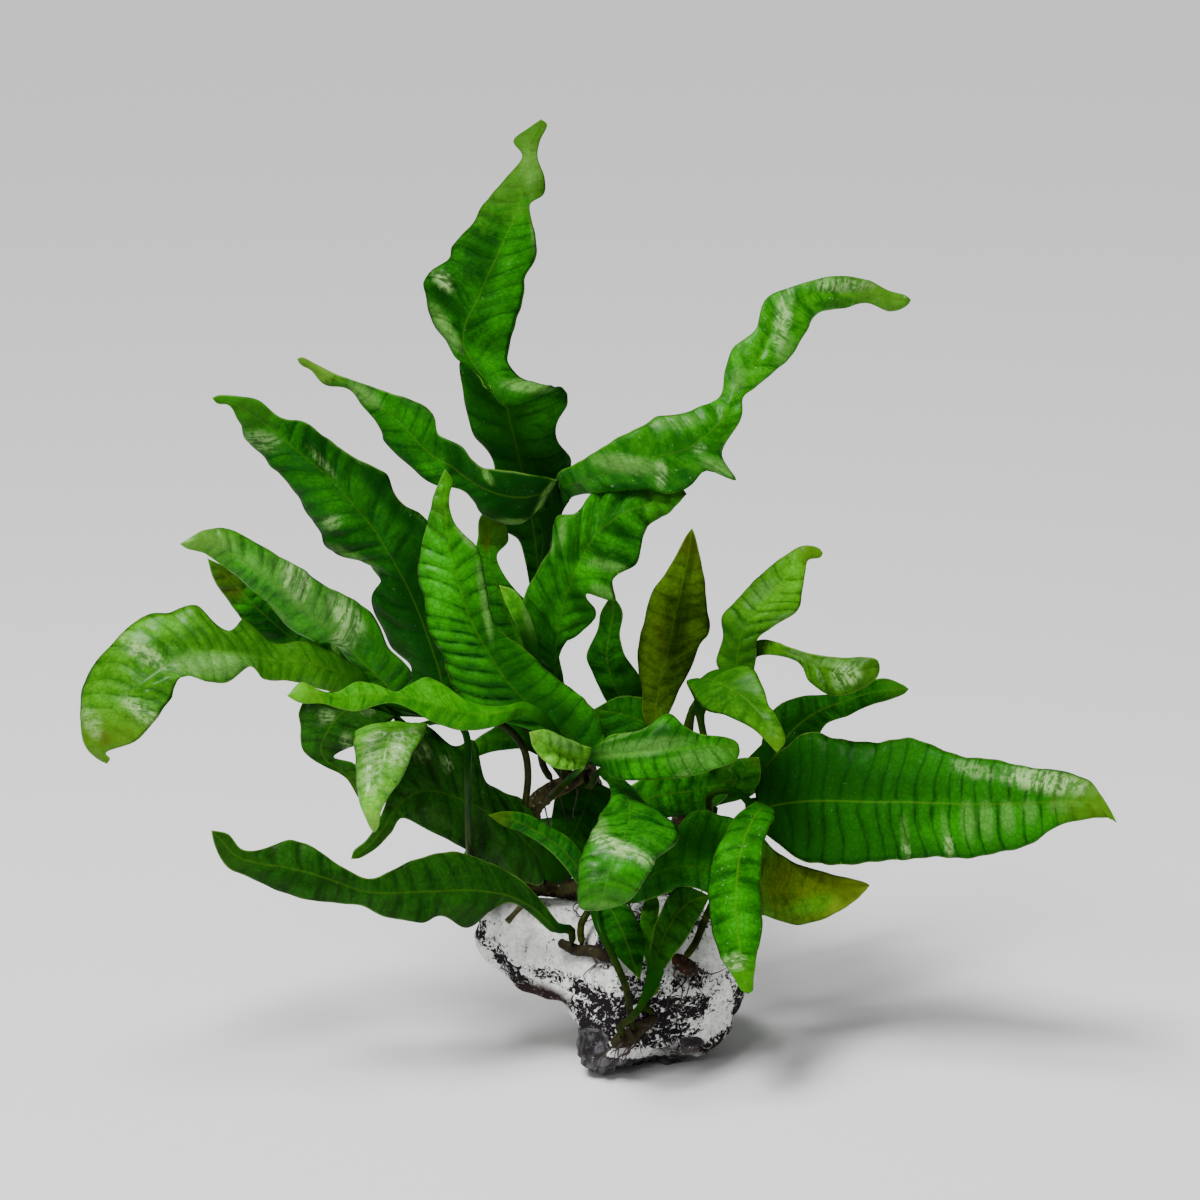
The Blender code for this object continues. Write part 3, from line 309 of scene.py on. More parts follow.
stone = {
    "radii": (27.0, 24.0, 20.0), "middle": (0.0, 0.0, 25.0), "top": 46.5, "subdivisions": 6,
    # each bump on it: the way it points from the middle, its height and how wide it spreads
    "bumps": [
        ((-1.00, 0.00, 0.30), 21.0, 0.38), ((-0.95, 0.00, -0.05), 3.0, 0.25),
        ((-0.38, -0.62, -0.67), 10.8, 0.36), ((0.05, 0.05, -1.00), 9.0, 0.50),
        ((0.35, -0.45, -0.80), 3.5, 0.40), ((0.75, -0.30, -0.55), 5.0, 0.40),
        ((0.90, -0.20, 0.15), 4.0, 0.40), ((0.10, 0.80, -0.60), 7.0, 0.60),
        ((-0.45, 0.55, 0.35), 5.0, 0.45), ((-0.80, -0.05, -0.62), -7.5, 0.36),
    ],
    # noises on it: the height, the width of its lumps and the offset of each
    "waves": [(2.2, 13.0, (3.1, 7.7, 1.3)), (1.5, 6.5, (9.4, 2.2, 5.8))],
    "hollows": [(1.0, 8.0, (1.7, 4.9, 8.2))], "hollowFrom": 0.18, "hollowDepth": 5.0,
    "grains": [(1.0, 2.6, (0.0, 0.0, 0.0)), (0.6, 1.1, (4.0, 1.0, 2.0))], "grit": 0.35,
    "flecks": [(1.0, 1.3, (0.0, 0.0, 0.0))], "fleckRange": (-0.2, 0.3),
    "pitDepth": 0.35, "dentDepth": 1.6,
    "lumpRise": 1.2, "lumpSize": 3.6, "lumpLevel": 0.3, "lumpEdge": 2.2,
    # where it is crusted, lumpy slate, rusty, clean or dented on the side that is seen
    "marks": {
        "crust": [
            # along the lower-left edge of the left lobe the crust marks are black pits and painted shade
            # together
            (476, 930, 18, 5, 60, 0.9), (500, 958, 22, 6, 50, 0.95), (520, 981, 18, 8, 45, 0.9),
            (590, 992, 26, 10, 20, 0.85), (560, 978, 40, 10, 15, 0.45), (596, 1025, 34, 28, 90, 0.95),
            (632, 1008, 90, 16, 0, 0.75), (640, 1032, 66, 20, 0, 0.9), (690, 1008, 36, 14, -10, 0.85),
            (655, 985, 50, 12, 0, 0.6), (692, 975, 24, 14, 20, 0.6), (722, 985, 16, 12, 60, 0.5),
            (739, 1004, 44, 6, 98, 0.95), (724, 1040, 28, 9, -30, 0.9), (603, 955, 28, 9, 90, 0.7),
            (645, 940, 40, 16, 90, 0.6), (700, 925, 20, 16, 100, 0.6), (550, 950, 60, 30, 20, 0.1),
            (478, 925, 12, 10, 90, 0.6), (498, 945, 14, 10, 60, 0.5),
        ],
        "rust": [(545, 996, 32, 12, 22, 1.0), (686, 1049, 28, 9, -8, 0.9), (600, 960, 10, 16, 0, 0.4)],
        "slate": [
            (590, 1040, 20, 13, 0, 1.0), (604, 1062, 38, 12, 0, 1.0), (590, 1052, 22, 12, 0, 1.0),
            (692, 1042, 14, 6, 0, 1.0), (670, 1062, 60, 8, 0, 0.7),
        ],
        "clean": [
            (716, 1012, 28, 9, 112, 0.8), (628, 1054, 24, 5, -4, 1.0), (720, 950, 24, 20, 90, 0.9),
            (560, 950, 60, 18, 30, 0.6), (510, 920, 30, 20, 20, 0.6),
        ],
        "dent": [(605, 1078, 40, 9, 0, 1.0), (560, 1010, 14, 8, 40, 0.5)],
    },
    "seen": (-0.15, 0.15), "cleaner": 0.15,
    # the other side: the heights, and how far to the right, between which it gets crusted, and slate
    "crustHeight": (30.0, 8.0), "crustRight": (-20.0, -4.0), "crustBehind": 0.6,
    "slateHeight": (12.0, 4.0),
    # all round, the lowest rim is slate
    "rimHeight": (3.5, 1.5),
    "white": (0.82, 0.82, 0.80), "grey": (0.50, 0.50, 0.49), "black": (0.010, 0.008, 0.009),
    "rust": (0.026, 0.007, 0.005), "slate": (0.075, 0.070, 0.078), "glint": (0.30, 0.30, 0.33),
    "patch": (7.0, 4.0, 0.6), "fine": (1.6, 5.0, 0.65), "fleck": (1.7, 4.0, 0.7, 1.2),
    "greyAt": (0.35, 0.75), "pitsAt": (0.76, 0.80), "crustPits": 0.24, "patchPits": 0.30,
    "rustAt": (0.30, 0.42), "creviceAt": (0.25, 0.75), "glintAt": (0.62, 0.68),
    "slateAt": (0.7, 0.85), "patchSlate": 0.6,
    "roughness": (0.85, 0.35), "specular": (0.08, 0.3),
    "fineBump": (0.5, 0.7), "pitBump": (-0.8, 0.8),
}


def stonePoint(direction):
    reach = 1.0 / math.sqrt(sum((direction[i] / stone["radii"][i]) ** 2 for i in range(3)))
    for aim, height, spread in stone["bumps"]:
        away = (direction - Vector(aim).normalized()).length
        reach += height * math.exp(-(away / spread) ** 2)
    point = direction * reach
    reach += lumps(point, stone["waves"])
    hollow = max(0.0, lumps(point, stone["hollows"]) - stone["hollowFrom"])
    reach += stone["grit"] * (lumps(point, stone["grains"]) - 0.5) - stone["hollowDepth"] * hollow
    point = direction * reach + Vector(stone["middle"])
    point.z = max(0.0, min(point.z, stone["top"]))
    return point


def stoneMaterial():
    mat, tree = newMaterial("pale pitted stone")
    place = objectPlace(tree)
    patch, fine, fleck = (cloud(tree, place, *stone[pattern]) for pattern in ("patch", "fine", "fleck"))
    skin = mixColour(tree, band(tree, fine, *stone["greyAt"]), stone["white"], stone["grey"])
    # black pits between pale flecks, closer together where it is crusted
    crowd = plus(tree, times(tree, field(tree, "crust"), stone["crustPits"]),
                 times(tree, patch, stone["patchPits"]))
    pits = band(tree, plus(tree, crowd, fleck), *stone["pitsAt"])
    colour = mixColour(tree, pits, skin, stone["black"])
    rusty = times(tree, field(tree, "rust"), band(tree, fleck, *stone["rustAt"]))
    colour = mixColour(tree, rusty, colour, mixColour(tree, fine, stone["black"], stone["rust"]))
    crevice = band(tree, field(tree, "crevice"), *stone["creviceAt"])
    slate = mixColour(tree, crevice, stone["slate"], stone["black"])
    slate = mixColour(tree, band(tree, fleck, *stone["glintAt"]), slate, stone["glint"])
    foot = plus(tree, field(tree, "slate"), times(tree, patch, stone["patchSlate"]))
    foot = band(tree, foot, *stone["slateAt"])
    setShader(tree, {
        "Base Color": mixColour(tree, foot, colour, slate),
        "Roughness": band(tree, foot, 0.0, 1.0, *stone["roughness"]),
        "Specular IOR Level": band(tree, foot, 0.0, 1.0, *stone["specular"]),
        "Normal": bump(tree, pits, *stone["pitBump"], bump(tree, fine, *stone["fineBump"])),
    })
    return mat


def stoneFields(places, normals):
    # the marks lie on the side that is seen; the rest is crusted and dark towards its foot
    seen = smoothStep(*stone["seen"], -(normals @ viewForward))
    height, right = places[:, 2], places[:, 0]
    low = smoothStep(*stone["crustHeight"], height) * smoothStep(*stone["crustRight"], right)
    fields = {kind: seen * markField(places, marks) for kind, marks in stone["marks"].items()}
    clean = fields["clean"]
    crust = fields["crust"] + (1.0 - seen) * low * stone["crustBehind"]
    fields["crust"] = crust * (1.0 - clean) - stone["cleaner"] * clean
    slate = fields["slate"] * (1.0 - clean) + (1.0 - seen) * smoothStep(*stone["slateHeight"], height)
    fields["slate"] = np.maximum(slate, smoothStep(*stone["rimHeight"], height))
    crevice = np.zeros(len(places))
    for i, place in enumerate(places):
        near = noise.voronoi(Vector(place) / stone["lumpSize"])[0]
        crevice[i] = 1.0 - min(1.0, (near[1] - near[0]) * stone["lumpEdge"])
    fields["crevice"] = crevice
    return fields


def makeStone():
    bm = bmesh.new()
    bmesh.ops.create_icosphere(bm, subdivisions=stone["subdivisions"], radius=1.0)
    for vertex in bm.verts:
        vertex.co = stonePoint(vertex.co.normalized())
    bmesh.ops.recalc_face_normals(bm, faces=bm.faces)
    bm.normal_update()
    places = np.array([vertex.co[:] for vertex in bm.verts])
    normals = np.array([vertex.normal[:] for vertex in bm.verts])
    fields = stoneFields(places, normals)
    flecks = np.array([lumps(Vector(place), stone["flecks"]) for place in places])
    lift = stone["lumpRise"] * fields["slate"] * (stone["lumpLevel"] - fields["crevice"])
    lift = lift - stone["pitDepth"] * fields["crust"] * smoothStep(*stone["fleckRange"], flecks)
    lift = lift - stone["dentDepth"] * fields["dent"]
    places = places + normals * lift[:, None]
    places[:, 2] = np.clip(places[:, 2], 0.0, stone["top"])
    for vertex, place in zip(bm.verts, places):
        vertex.co = Vector(place) * mm
    mesh = bpy.data.meshes.new("stone_surface")
    bm.to_mesh(mesh)
    bm.free()
    addFields(mesh, {kind: fields[kind] for kind in ("crust", "rust", "slate", "crevice")})
    mesh.materials.append(stoneMaterial())
    finishPiece("stone_surface", mesh, ["stone"])


makeStone()
print("stone made")


def stoneSurface():
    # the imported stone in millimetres, to lay the rhizomes and roots on
    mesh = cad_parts["stone"].data
    corners = [vertex.co / mm for vertex in mesh.vertices]
    return BVHTree.FromPolygons(corners, [face.vertices[:] for face in mesh.polygons])


surface = stoneSurface()
# how often a point is moved to get clear of the stone, and how much farther than it has to go
clearing = {"tries": 6, "more": 0.02}


def offStone(point):
    # the nearest place on the stone, its normal, and how far the point is out of the stone
    nearest, normal, _, away = surface.find_nearest(point)
    if (point - nearest).dot(normal) < 0.0:
        away = -away
    return nearest, normal, away


def movedOff(point, distance):
    # the point, moved straight out of the stone until it is at least the distance from its surface
    point = Vector(point)
    for _ in range(clearing["tries"]):
        _, normal, away = offStone(point)
        if away >= distance:
            break
        point = point + normal * (distance - away + clearing["more"])
    return point


# Rhizome: creeping branches with overlapping brown scales

rhizome = {
    "gap": 0.35, "resting": ("rhizome_main", "rhizome_front_left", "rhizome_front_right", "rhizome_foot"),
    "around": 30, "step": 0.45, "dense": 400, "steady": (0.0, 0.3, 1.0), "fullFrom": 1.0,
    # its scales: how many lie round it, how long and high they are, and how steep along and across
    "scales": 5.0, "scaleLength": 2.3, "scaleRise": 0.26, "scaleSlope": 1.5, "scaleArc": 0.5,
    "lumps": [(0.22, 2.4, (0.0, 0.0, 0.0)), (0.11, 0.9, (0.0, 0.0, 0.0))],
    # each bark: its material's name, its colour and how flecked it is
    "barks": {
        "olive": ("olive rhizome scales", (0.065, 0.060, 0.018), 0.4),
        "red": ("red-brown rhizome scales", (0.048, 0.016, 0.008), 0.2),
        # the shaded bark is a darker, less flecked copy of the olive one: painted shade on the low front
        # branches
        "shaded": ("rhizome scales with painted shade", (0.022, 0.021, 0.005), 0.06),
    },
    "barkOf": {"rhizome_front_right": "red", "rhizome_front_left": "shaded", "rhizome_foot": "shaded"},
    "dark": (0.014, 0.008, 0.004), "fleck": (0.42, 0.40, 0.33), "specular": 0.12,
    "patch": (3.0, 4.0, 0.6), "fine": (0.7, 4.0, 0.7), "flecks": (1.1, 2.0, 0.5),
    "darkAt": (0.35, 0.65), "edgeAt": (0.75, 1.0), "flecksAt": (0.66, 0.72), "moreFlecks": 1.3,
    "roughness": (0.3, 0.7, 0.55, 0.85), "bump": (0.35, 0.8),
    # the route of each branch: x, y, z and radius
    "branches": {
        "rhizome_main": [
            (-44, 8, 44, 2.0), (-36, 7, 46, 2.8), (-26, 6, 48, 3.0), (-15, 5, 49, 3.1), (-4, 5, 49, 3.1),
            (7, 6, 49, 3.0), (16, 8, 47, 2.4),
        ],
        "rhizome_rising_middle": [
            (-22, 12, 51, 2.2), (-27, 10, 57, 2.6), (-30, 7, 64, 2.7), (-29.5, 4, 71, 2.7),
            (-25, 3, 75.5, 2.6), (-19, 2, 79, 2.4), (-13.5, 1, 83.5, 1.9),
        ],
        "rhizome_rising_right": [
            (19, 14, 47, 2.2), (15, 12, 54, 2.6), (12, 8, 61, 2.7), (11, 5, 67, 2.6), (13, 4, 73, 2.5),
            (16, 4, 80, 2.3), (18, 4, 87, 1.9),
        ],
        "rhizome_rising_back": [
            (-8, 15, 50, 2.4), (-10, 20, 58, 2.7), (-12, 23, 67, 2.7), (-15, 23, 76, 2.6),
            (-19, 22, 85, 2.4), (-22, 22, 92, 1.9),
        ],
        "rhizome_front_left": [
            (-23, -17, 39, 1.3), (-19, -18, 38, 1.6), (-13, -19, 36.5, 1.7), (-8, -20, 35, 1.4),
        ],
        "rhizome_front_right": [(8.5, -20, 35, 1.7), (11.5, -20, 33, 2.2), (14.5, -20, 30.5, 1.6)],
        "rhizome_foot": [
            (-8.5, -27, 13, 1.6), (-4.5, -27, 14, 2.1), (0, -26, 15.5, 1.9), (4.5, -25, 20, 1.4),
        ],
    },
}


def settleRhizomes():
    # the points and radii of each branch, with those that rest on the stone laid on it
    routes = {}
    for name, stations in rhizome["branches"].items():
        points = [Vector(station[:3]) for station in stations]
        radii = np.array([station[3] for station in stations], float)
        if name in rhizome["resting"]:
            for i, (point, radius) in enumerate(zip(points, radii)):
                nearest, normal, _ = offStone(point)
                clear = radius + rhizome["gap"]
                points[i] = movedOff(nearest + normal * clear, clear)
        routes[name] = (np.array([point[:] for point in points]), radii)
    return routes


def rhizomeMaterial(name, base, flecked):
    mat, tree = newMaterial(name)
    place = objectPlace(tree)
    patch, fine, flecks = (cloud(tree, place, *rhizome[pattern]) for pattern in ("patch", "fine", "flecks"))
    colour = mixColour(tree, band(tree, patch, *rhizome["darkAt"]), rhizome["dark"], base)
    edge = band(tree, field(tree, "rise"), *rhizome["edgeAt"], 0.0, flecked)
    colour = mixColour(tree, edge, colour, rhizome["fleck"])
    flecks = band(tree, flecks, *rhizome["flecksAt"], 0.0, rhizome["moreFlecks"] * flecked)
    setShader(tree, {
        "Base Color": mixColour(tree, flecks, colour, rhizome["fleck"]),
        "Roughness": band(tree, fine, *rhizome["roughness"]),
        "Specular IOR Level": rhizome["specular"],
        "Normal": bump(tree, fine, *rhizome["bump"]),
    })
    return mat


def makeRhizome(name, route, mat):
    points, radii = route
    dense = np.linspace(0.0, len(points) - 1.0, rhizome["dense"])
    length = lengthAlong(along(points, dense))
    s = np.linspace(0.0, length[-1], int(length[-1] / rhizome["step"]) + 1)
    t = np.interp(s, length, dense)
    centre = along(points, t)
    radius = along(radii, t)
    if name in rhizome["resting"]:
        centre = np.array([movedOff(c, r + rhizome["gap"])[:] for c, r in zip(centre, radius)])
    across, upward = squareTo(unit(np.gradient(centre, axis=0)), rhizome["steady"])
    # round ends
    fromEnd = np.minimum(s, length[-1] - s)
    radius = radius * np.sqrt(np.clip(1.0 - (1.0 - np.minimum(fromEnd / radius, 1.0)) ** 2, 0.0, 1.0))
    angle = wholeTurn(rhizome["around"])
    turn = angle / (2.0 * np.pi) * rhizome["scales"]
    row = s[:, None] / rhizome["scaleLength"] + 0.5 * (np.floor(turn) % 2)[None, :]
    arc = np.abs(np.sin(np.pi * turn))[None, :]
    rise = (row % 1.0) ** rhizome["scaleSlope"] * arc ** rhizome["scaleArc"]
    smooth = ringsAround(centre, across, upward, radius[:, None], angle)
    lump = np.array([[lumps(Vector(spot), rhizome["lumps"]) for spot in ring] for ring in smooth])
    lump[:, -1] = lump[:, 0]
    swell = np.minimum(radius / rhizome["fullFrom"], 1.0)[:, None]
    reach = radius[:, None] + swell * (rhizome["scaleRise"] * (rise - 0.5) + lump)
    skin = ringsAround(centre, across, upward, np.maximum(reach, 0.0), angle)
    skin[0], skin[-1] = centre[0], centre[-1]
    mesh = wrappedMesh(name + "_skin", skin, {"rise": rise})
    mesh.materials.append(mat)
    finishPiece(name + "_skin", mesh, [name])


routes = settleRhizomes()
barks = {kind: rhizomeMaterial(*bark) for kind, bark in rhizome["barks"].items()}
for name, route in routes.items():
    makeRhizome(name, route, barks[rhizome["barkOf"].get(name, "olive")])
print("rhizomes made")


# Fronds: each has rows from its tip to where the blade meets the stalk: the midrib and its depth, then its
# two edges, in the picture's pixels. Where both edges meet the midrib, as at a tip, only that is given. Two
# more numbers set the edges forward or back of where cup and roll put them. "stalk" has further points of
# the stalk, and "seat" is the rhizome, how far along it and which way. "ribs" is how far apart its side
# veins are and how high it bulges between them, and "tipTint" is its tip's colour and how much of it.
fronds = {}
fronds["frond_top"] = dict(
    rows=[
        (541, 119, 34), (538, 126, 34, 527, 129, 547, 125), (530, 140, 33, 513, 140, 540, 141),
        (530, 157, 31, 522, 157, 538, 157), (527, 178, 28, 503, 180, 545, 179),
        (523, 195, 26, 489, 198, 543, 195), (519, 206, 25, 482, 207, 530, 205),
        (512, 224, 23, 472, 225, 533, 225), (503, 243, 20, 453, 243, 536, 243),
        (496, 259, 18, 449, 259, 536, 260), (489, 273, 16, 429, 273, 527, 274),
        (483, 287, 15, 423, 284, 524, 287), (476, 303, 13, 427, 303, 522, 303, 3, 0),
        (467, 321, 11, 433, 323, 518, 319, 6, 0), (463, 341, 9, 447, 343, 511, 339, 8, 0),
        (471, 360, 7, 459, 358, 508, 361, 4, 0), (487, 383, 3, 474, 373, 525, 380),
        (505, 406, 0, 489, 388, 550, 386), (505, 393, 9, 460, 361, 562, 389),
        (508, 412, 11, 464, 398, 567, 402), (514, 436, 13, 475, 436, 556, 434),
        (520, 462, 15, 493, 463, 571, 464), (527, 498, 18, 497, 500, 562, 500),
        (532, 520, 19, 500, 526, 560, 520), (535, 541, 20, 518, 541, 553, 541),
        (538, 566, 21, 526, 566, 551, 566), (540, 592, 22, 531, 593, 549, 592),
    ],
    cup=0.12, roll=0.0, stalk=[(543, 625, 23), (549, 668, 25)],
    seat=("rhizome_rising_back", 0.98, (-0.2, 0.5, 1.0)), look="deep", gloss=0.0, baseShade=0.2, valleyShade=0.45,
    ribs=(6.2, 0.3), tipTint=(0.06, 0.168, 0.012, 0.6),
    marks=dict(
        light=[
            (548, 412, 16, 24, 90, 0.7), (510, 440, 50, 40, 90, 0.35), (515, 255, 60, 18, 100, 0.5),
            (505, 335, 40, 16, 90, 0.4), (490, 372, 34, 14, 50, 0.6), (549, 408, 20, 15, 90, 0.3),
        ],
        pale=[
            (531, 165, 24, 12, 90, 0.8), (535, 232, 34, 4, 85, 0.7), (445, 327, 30, 7, 58, 0.85),
            (527, 386, 26, 7, 4, 0.95),
        ],
        shade=[
            (482, 255, 30, 16, 60, 0.45), (452, 305, 26, 8, 45, 0.8), (478, 388, 30, 15, 75, 0.8),
            (500, 435, 55, 30, 80, 0.7), (530, 500, 60, 40, 90, 0.6),
        ],
        gleam=[(443, 280, 14, 7, 60, 0.7)],
    ),
    folds=[
        (447, 312, 34, 7, 62, -0.7), (443, 330, 30, 5, 60, 0.7), (480, 262, 26, 6, 40, -0.5),
        (500, 230, 26, 8, 35, 0.5), (478, 330, 36, 4, 100, -0.7), (497, 345, 36, 8, 95, 0.6),
        (512, 262, 44, 6, 105, 0.5), (522, 300, 40, 6, 100, -0.4),
    ],
)
fronds["frond_upper_left_slim"] = dict(
    rows=[
        (297, 359, 38), (302, 361, 37, 303, 357, 302, 366), (314, 368, 36, 316, 364, 312, 371),
        (331, 377, 33, 334, 373, 325, 385), (349, 384, 29, 350, 379, 347, 389),
        (370, 400, 25, 379, 389, 362, 405), (396, 418, 21, 406, 398, 379, 426),
        (414, 437, 17, 432, 412, 384, 442), (432, 454, 14, 440, 434, 408, 466),
        (452, 467, 10, 462, 447, 436, 484), (476, 483, 7, 479, 466, 464, 491),
        (500, 494, 4, 502, 470, 483, 516), (524, 497, 3, 530, 473, 519, 525),
        (543, 493, 4, 555, 480, 540, 507), (551, 500, 7, 558, 486, 544, 512),
    ],
    cup=0.2, roll=-0.25, stalk=[(544, 560, 13), (540, 620, 16.5), (544, 675, 18)],
    seat=("rhizome_rising_back", 0.86, (-0.8, -0.8, 0.3)), look="deep", contrast=0.25, gloss=0.08,
    baseShade=0.9, ribs=(6.0, 0.2), tipTint=(0.102, 0.228, 0.021, 0.7),
    marks=dict(
        pale=[
            (364, 394, 22, 9, 35, 0.6), (488, 477, 9, 4, 60, 0.8), (515, 522, 22, 3, 0, 1.0),
            (540, 505, 14, 3, -60, 1.0), (548, 490, 12, 3, -50, 0.9),
        ],
        light=[(400, 415, 32, 12, 35, 0.4), (432, 466, 16, 10, 30, 0.6)],
        shade=[(466, 464, 26, 12, 40, 0.6), (516, 492, 40, 24, 10, 0.9)],
    ),
    folds=[
        (400, 418, 30, 6, 35, 0.5), (430, 452, 26, 6, 50, 0.6), (452, 470, 22, 4, 60, -0.6),
        (478, 478, 20, 6, 50, 0.6),
    ],
)
fronds["frond_upper_left_broad"] = dict(
    rows=[
        (212, 398, 26), (219, 400, 26, 220, 395, 218, 404), (231, 402, 26, 240, 397, 230, 406),
        (248, 412, 26, 260, 400, 240, 424), (266, 424, 26, 280, 416, 246, 442),
        (290, 443, 25, 306, 423, 268, 462), (314, 463, 25, 329, 439, 285, 478),
        (338, 486, 24, 354, 457, 301, 505), (358, 508, 23, 383, 471, 316, 527),
        (376, 532, 22, 398, 499, 331, 550), (392, 557, 21, 428, 519, 362, 563),
        (407, 585, 20, 446, 545, 382, 578), (419, 612, 19, 456, 582, 372, 602),
        (430, 642, 18, 462, 625, 390, 646), (440, 672, 17, 462, 662, 410, 668),
        (446, 695, 17, 460, 682, 412, 692),
    ],
    cup=0.15, roll=-0.3, stalk=[(468, 706, 17), (506, 713, 18), (540, 722, 19)],
    seat=("rhizome_rising_back", 0.74, (-1.0, 0.1, 0.4)), look="deep", gloss=0.1, ribs=(6.2, 0.4),
    tipTint=(0.03, 0.144, 0.006, 0.5),
    marks=dict(
        shade=[(388, 488, 80, 16, 50, 0.95), (322, 440, 24, 9, 30, 0.7), (428, 610, 70, 26, 75, 0.8)],
        gleam=[(262, 441, 20, 10, 15, 0.5), (322, 462, 20, 4, 48, 0.4), (332, 522, 10, 8, 0, 0.4)],
        light=[(312, 485, 70, 14, 48, 0.4), (225, 401, 14, 6, 0, 0.7)],
        pale=[(352, 556, 30, 4, 25, 0.6)],
    ),
    folds=[
        (300, 452, 30, 7, 35, 0.7), (330, 470, 30, 6, 50, -0.6), (352, 500, 30, 8, 50, 0.7),
        (372, 520, 24, 5, 60, -0.6), (392, 545, 24, 8, 60, 0.6), (335, 525, 22, 8, 20, 0.6),
        (410, 500, 24, 6, 60, -0.6),
    ],
)
fronds["frond_left_glossy"] = dict(
    rows=[
        (180, 544, -34), (187, 543, -34, 189, 538, 187, 549), (202, 541, -33, 204, 530, 202, 552),
        (222, 549, -31, 225, 528, 213, 559), (243, 561, -29, 250, 540, 236, 576),
        (265, 576, -27, 278, 555, 256, 594), (286, 593, -24, 302, 569, 272, 608),
        (308, 613, -21, 325, 585, 290, 629), (330, 631, -18, 350, 598, 313, 641),
        (350, 650, -15, 373, 613, 335, 645), (369, 668, -13, 387, 646, 354, 668),
        (386, 685, -11, 411, 670, 373, 690), (400, 701, -10, 413, 692, 391, 708),
    ],
    cup=0.25, roll=0.2, stalk=[(424, 709, -8), (464, 711, -6), (505, 714, -4), (536, 728, -2)],
    seat=("rhizome_rising_middle", 0.72, (-0.4, 0.0, 1.0)), look="bright", gloss=0.6, sides=(1.0, 0.6),
    midrib=0.3, ribs=(4.6, 0.35), tipTint=(0.084, 0.216, 0.015, 0.5),
    marks=dict(
        pale=[
            (320, 600, 60, 16, 42, 0.35), (250, 560, 30, 8, 35, 0.5), (340, 610, 26, 12, 50, 0.5),
            (300, 592, 70, 14, 42, 0.5), (218, 541, 26, 10, 15, 0.7), (190, 543, 10, 6, 0, 0.9),
            (276, 611, 18, 3, 45, 0.7),
        ],
        gleam=[(296, 580, 22, 14, 70, 1.0), (346, 616, 26, 13, 55, 0.9), (344, 640, 14, 10, 0, 0.8)],
        light=[(260, 570, 40, 10, 35, 0.5)],
        shade=[(330, 590, 14, 4, 30, 0.4)],
    ),
    folds=[
        (222, 543, 12, 8, 70, 0.6), (242, 548, 12, 3, 70, -0.5), (258, 556, 13, 8, 70, 0.6),
        (276, 566, 14, 3, 65, -0.6), (292, 580, 16, 9, 65, 0.7), (308, 588, 16, 3, 60, -0.6),
        (318, 602, 14, 7, 60, 0.6), (333, 612, 15, 3, 60, -0.7), (344, 622, 14, 9, 60, 0.8),
        (352, 641, 12, 7, 60, 0.6), (362, 652, 14, 3, 60, -0.5), (300, 615, 60, 4, 42, -0.4),
    ],
)
fronds["frond_left_shaded"] = dict(
    rows=[
        (207, 558, -14), (226, 575, -13, 240, 574, 214, 580), (246, 597, -12, 264, 590, 229, 602),
        (268, 618, -11, 287, 606, 247, 625), (292, 638, -9, 310, 622, 276, 650),
        (320, 660, -7, 337, 646, 306, 672), (350, 683, -5, 362, 670, 340, 694),
        (378, 704, -3, 384, 697, 372, 711),
    ],
    cup=0.1, roll=0.2, stalk=[(424, 714, 1), (470, 714, 4), (508, 717, 5), (532, 733, 4)],
    seat=("rhizome_rising_middle", 0.8, (-0.9, 0.3, 0.4)), slot="frond_dark", look="mid", baseShade=0.2,
    ribs=(5.0, 0.45), tipTint=(0.03, 0.096, 0.003, 0.5),
    marks=dict(
        rust=[(228, 583, 24, 14, 55, 0.8)],
        light=[(246, 606, 12, 8, 30, 0.5)],
        shade=[(270, 622, 32, 20, 40, 1.0), (327, 655, 16, 9, 70, 1.0)],
        pale=[(335, 649, 13, 3, 70, 0.9)],
    ),
)
fronds["frond_far_left_drooping"] = dict(
    rows=[
        (107, 764, -40), (102, 758, -40, 94, 757, 110, 759), (98, 748, -40, 86, 747, 107, 752),
        (100, 732, -39, 81, 730, 136, 741), (110, 714, -38, 79, 704, 157, 718),
        (126, 698, -37, 84, 678, 170, 700), (144, 683, -36, 112, 646, 175, 683),
        (163, 669, -34, 141, 617, 187, 676), (186, 657, -32, 171, 612, 207, 682),
        (212, 651, -30, 197, 605, 230, 681), (236, 653, -28, 227, 631, 250, 667),
        (256, 658, -26, 245, 620, 263, 679), (280, 661, -24, 270, 642, 285, 681),
        (302, 661, -22, 299, 641, 304, 684), (323, 667, -20, 319, 645, 324, 690),
        (346, 676, -17, 346, 660, 346, 696),
    ],
    cup=0.15, roll=0.35,
    stalk=[(376, 698, -16), (424, 713, -14), (465, 718, -9), (500, 724, -8), (522, 745, -9), (528, 776, -7)],
    seat=("rhizome_rising_middle", 0.5, (-0.2, -1.0, 0.1)), look="fresh", gloss=0.45, ribs=(3.6, 0.25),
    tipTint=(0.06, 0.12, 0.003, 0.6),
    marks=dict(
        pale=[(210, 665, 44, 13, -2, 1.0)],
        gleam=[(142, 650, 28, 10, 35, 0.8), (92, 722, 18, 9, 70, 0.5), (142, 712, 26, 8, 35, 0.8)],
        rust=[(104, 738, 9, 7, 60, 1.0)],
        light=[(150, 628, 50, 12, -10, 0.4)],
        shade=[(238, 645, 30, 8, 30, 0.4)],
    ),
    folds=[
        (130, 660, 40, 6, -35, 0.5), (110, 690, 40, 5, -45, -0.5), (150, 690, 30, 5, -35, 0.5),
        (215, 650, 50, 4, 5, -0.7), (210, 668, 40, 7, 0, 0.6), (290, 660, 40, 5, 20, -0.5),
        (260, 635, 20, 6, 30, 0.5),
    ],
)
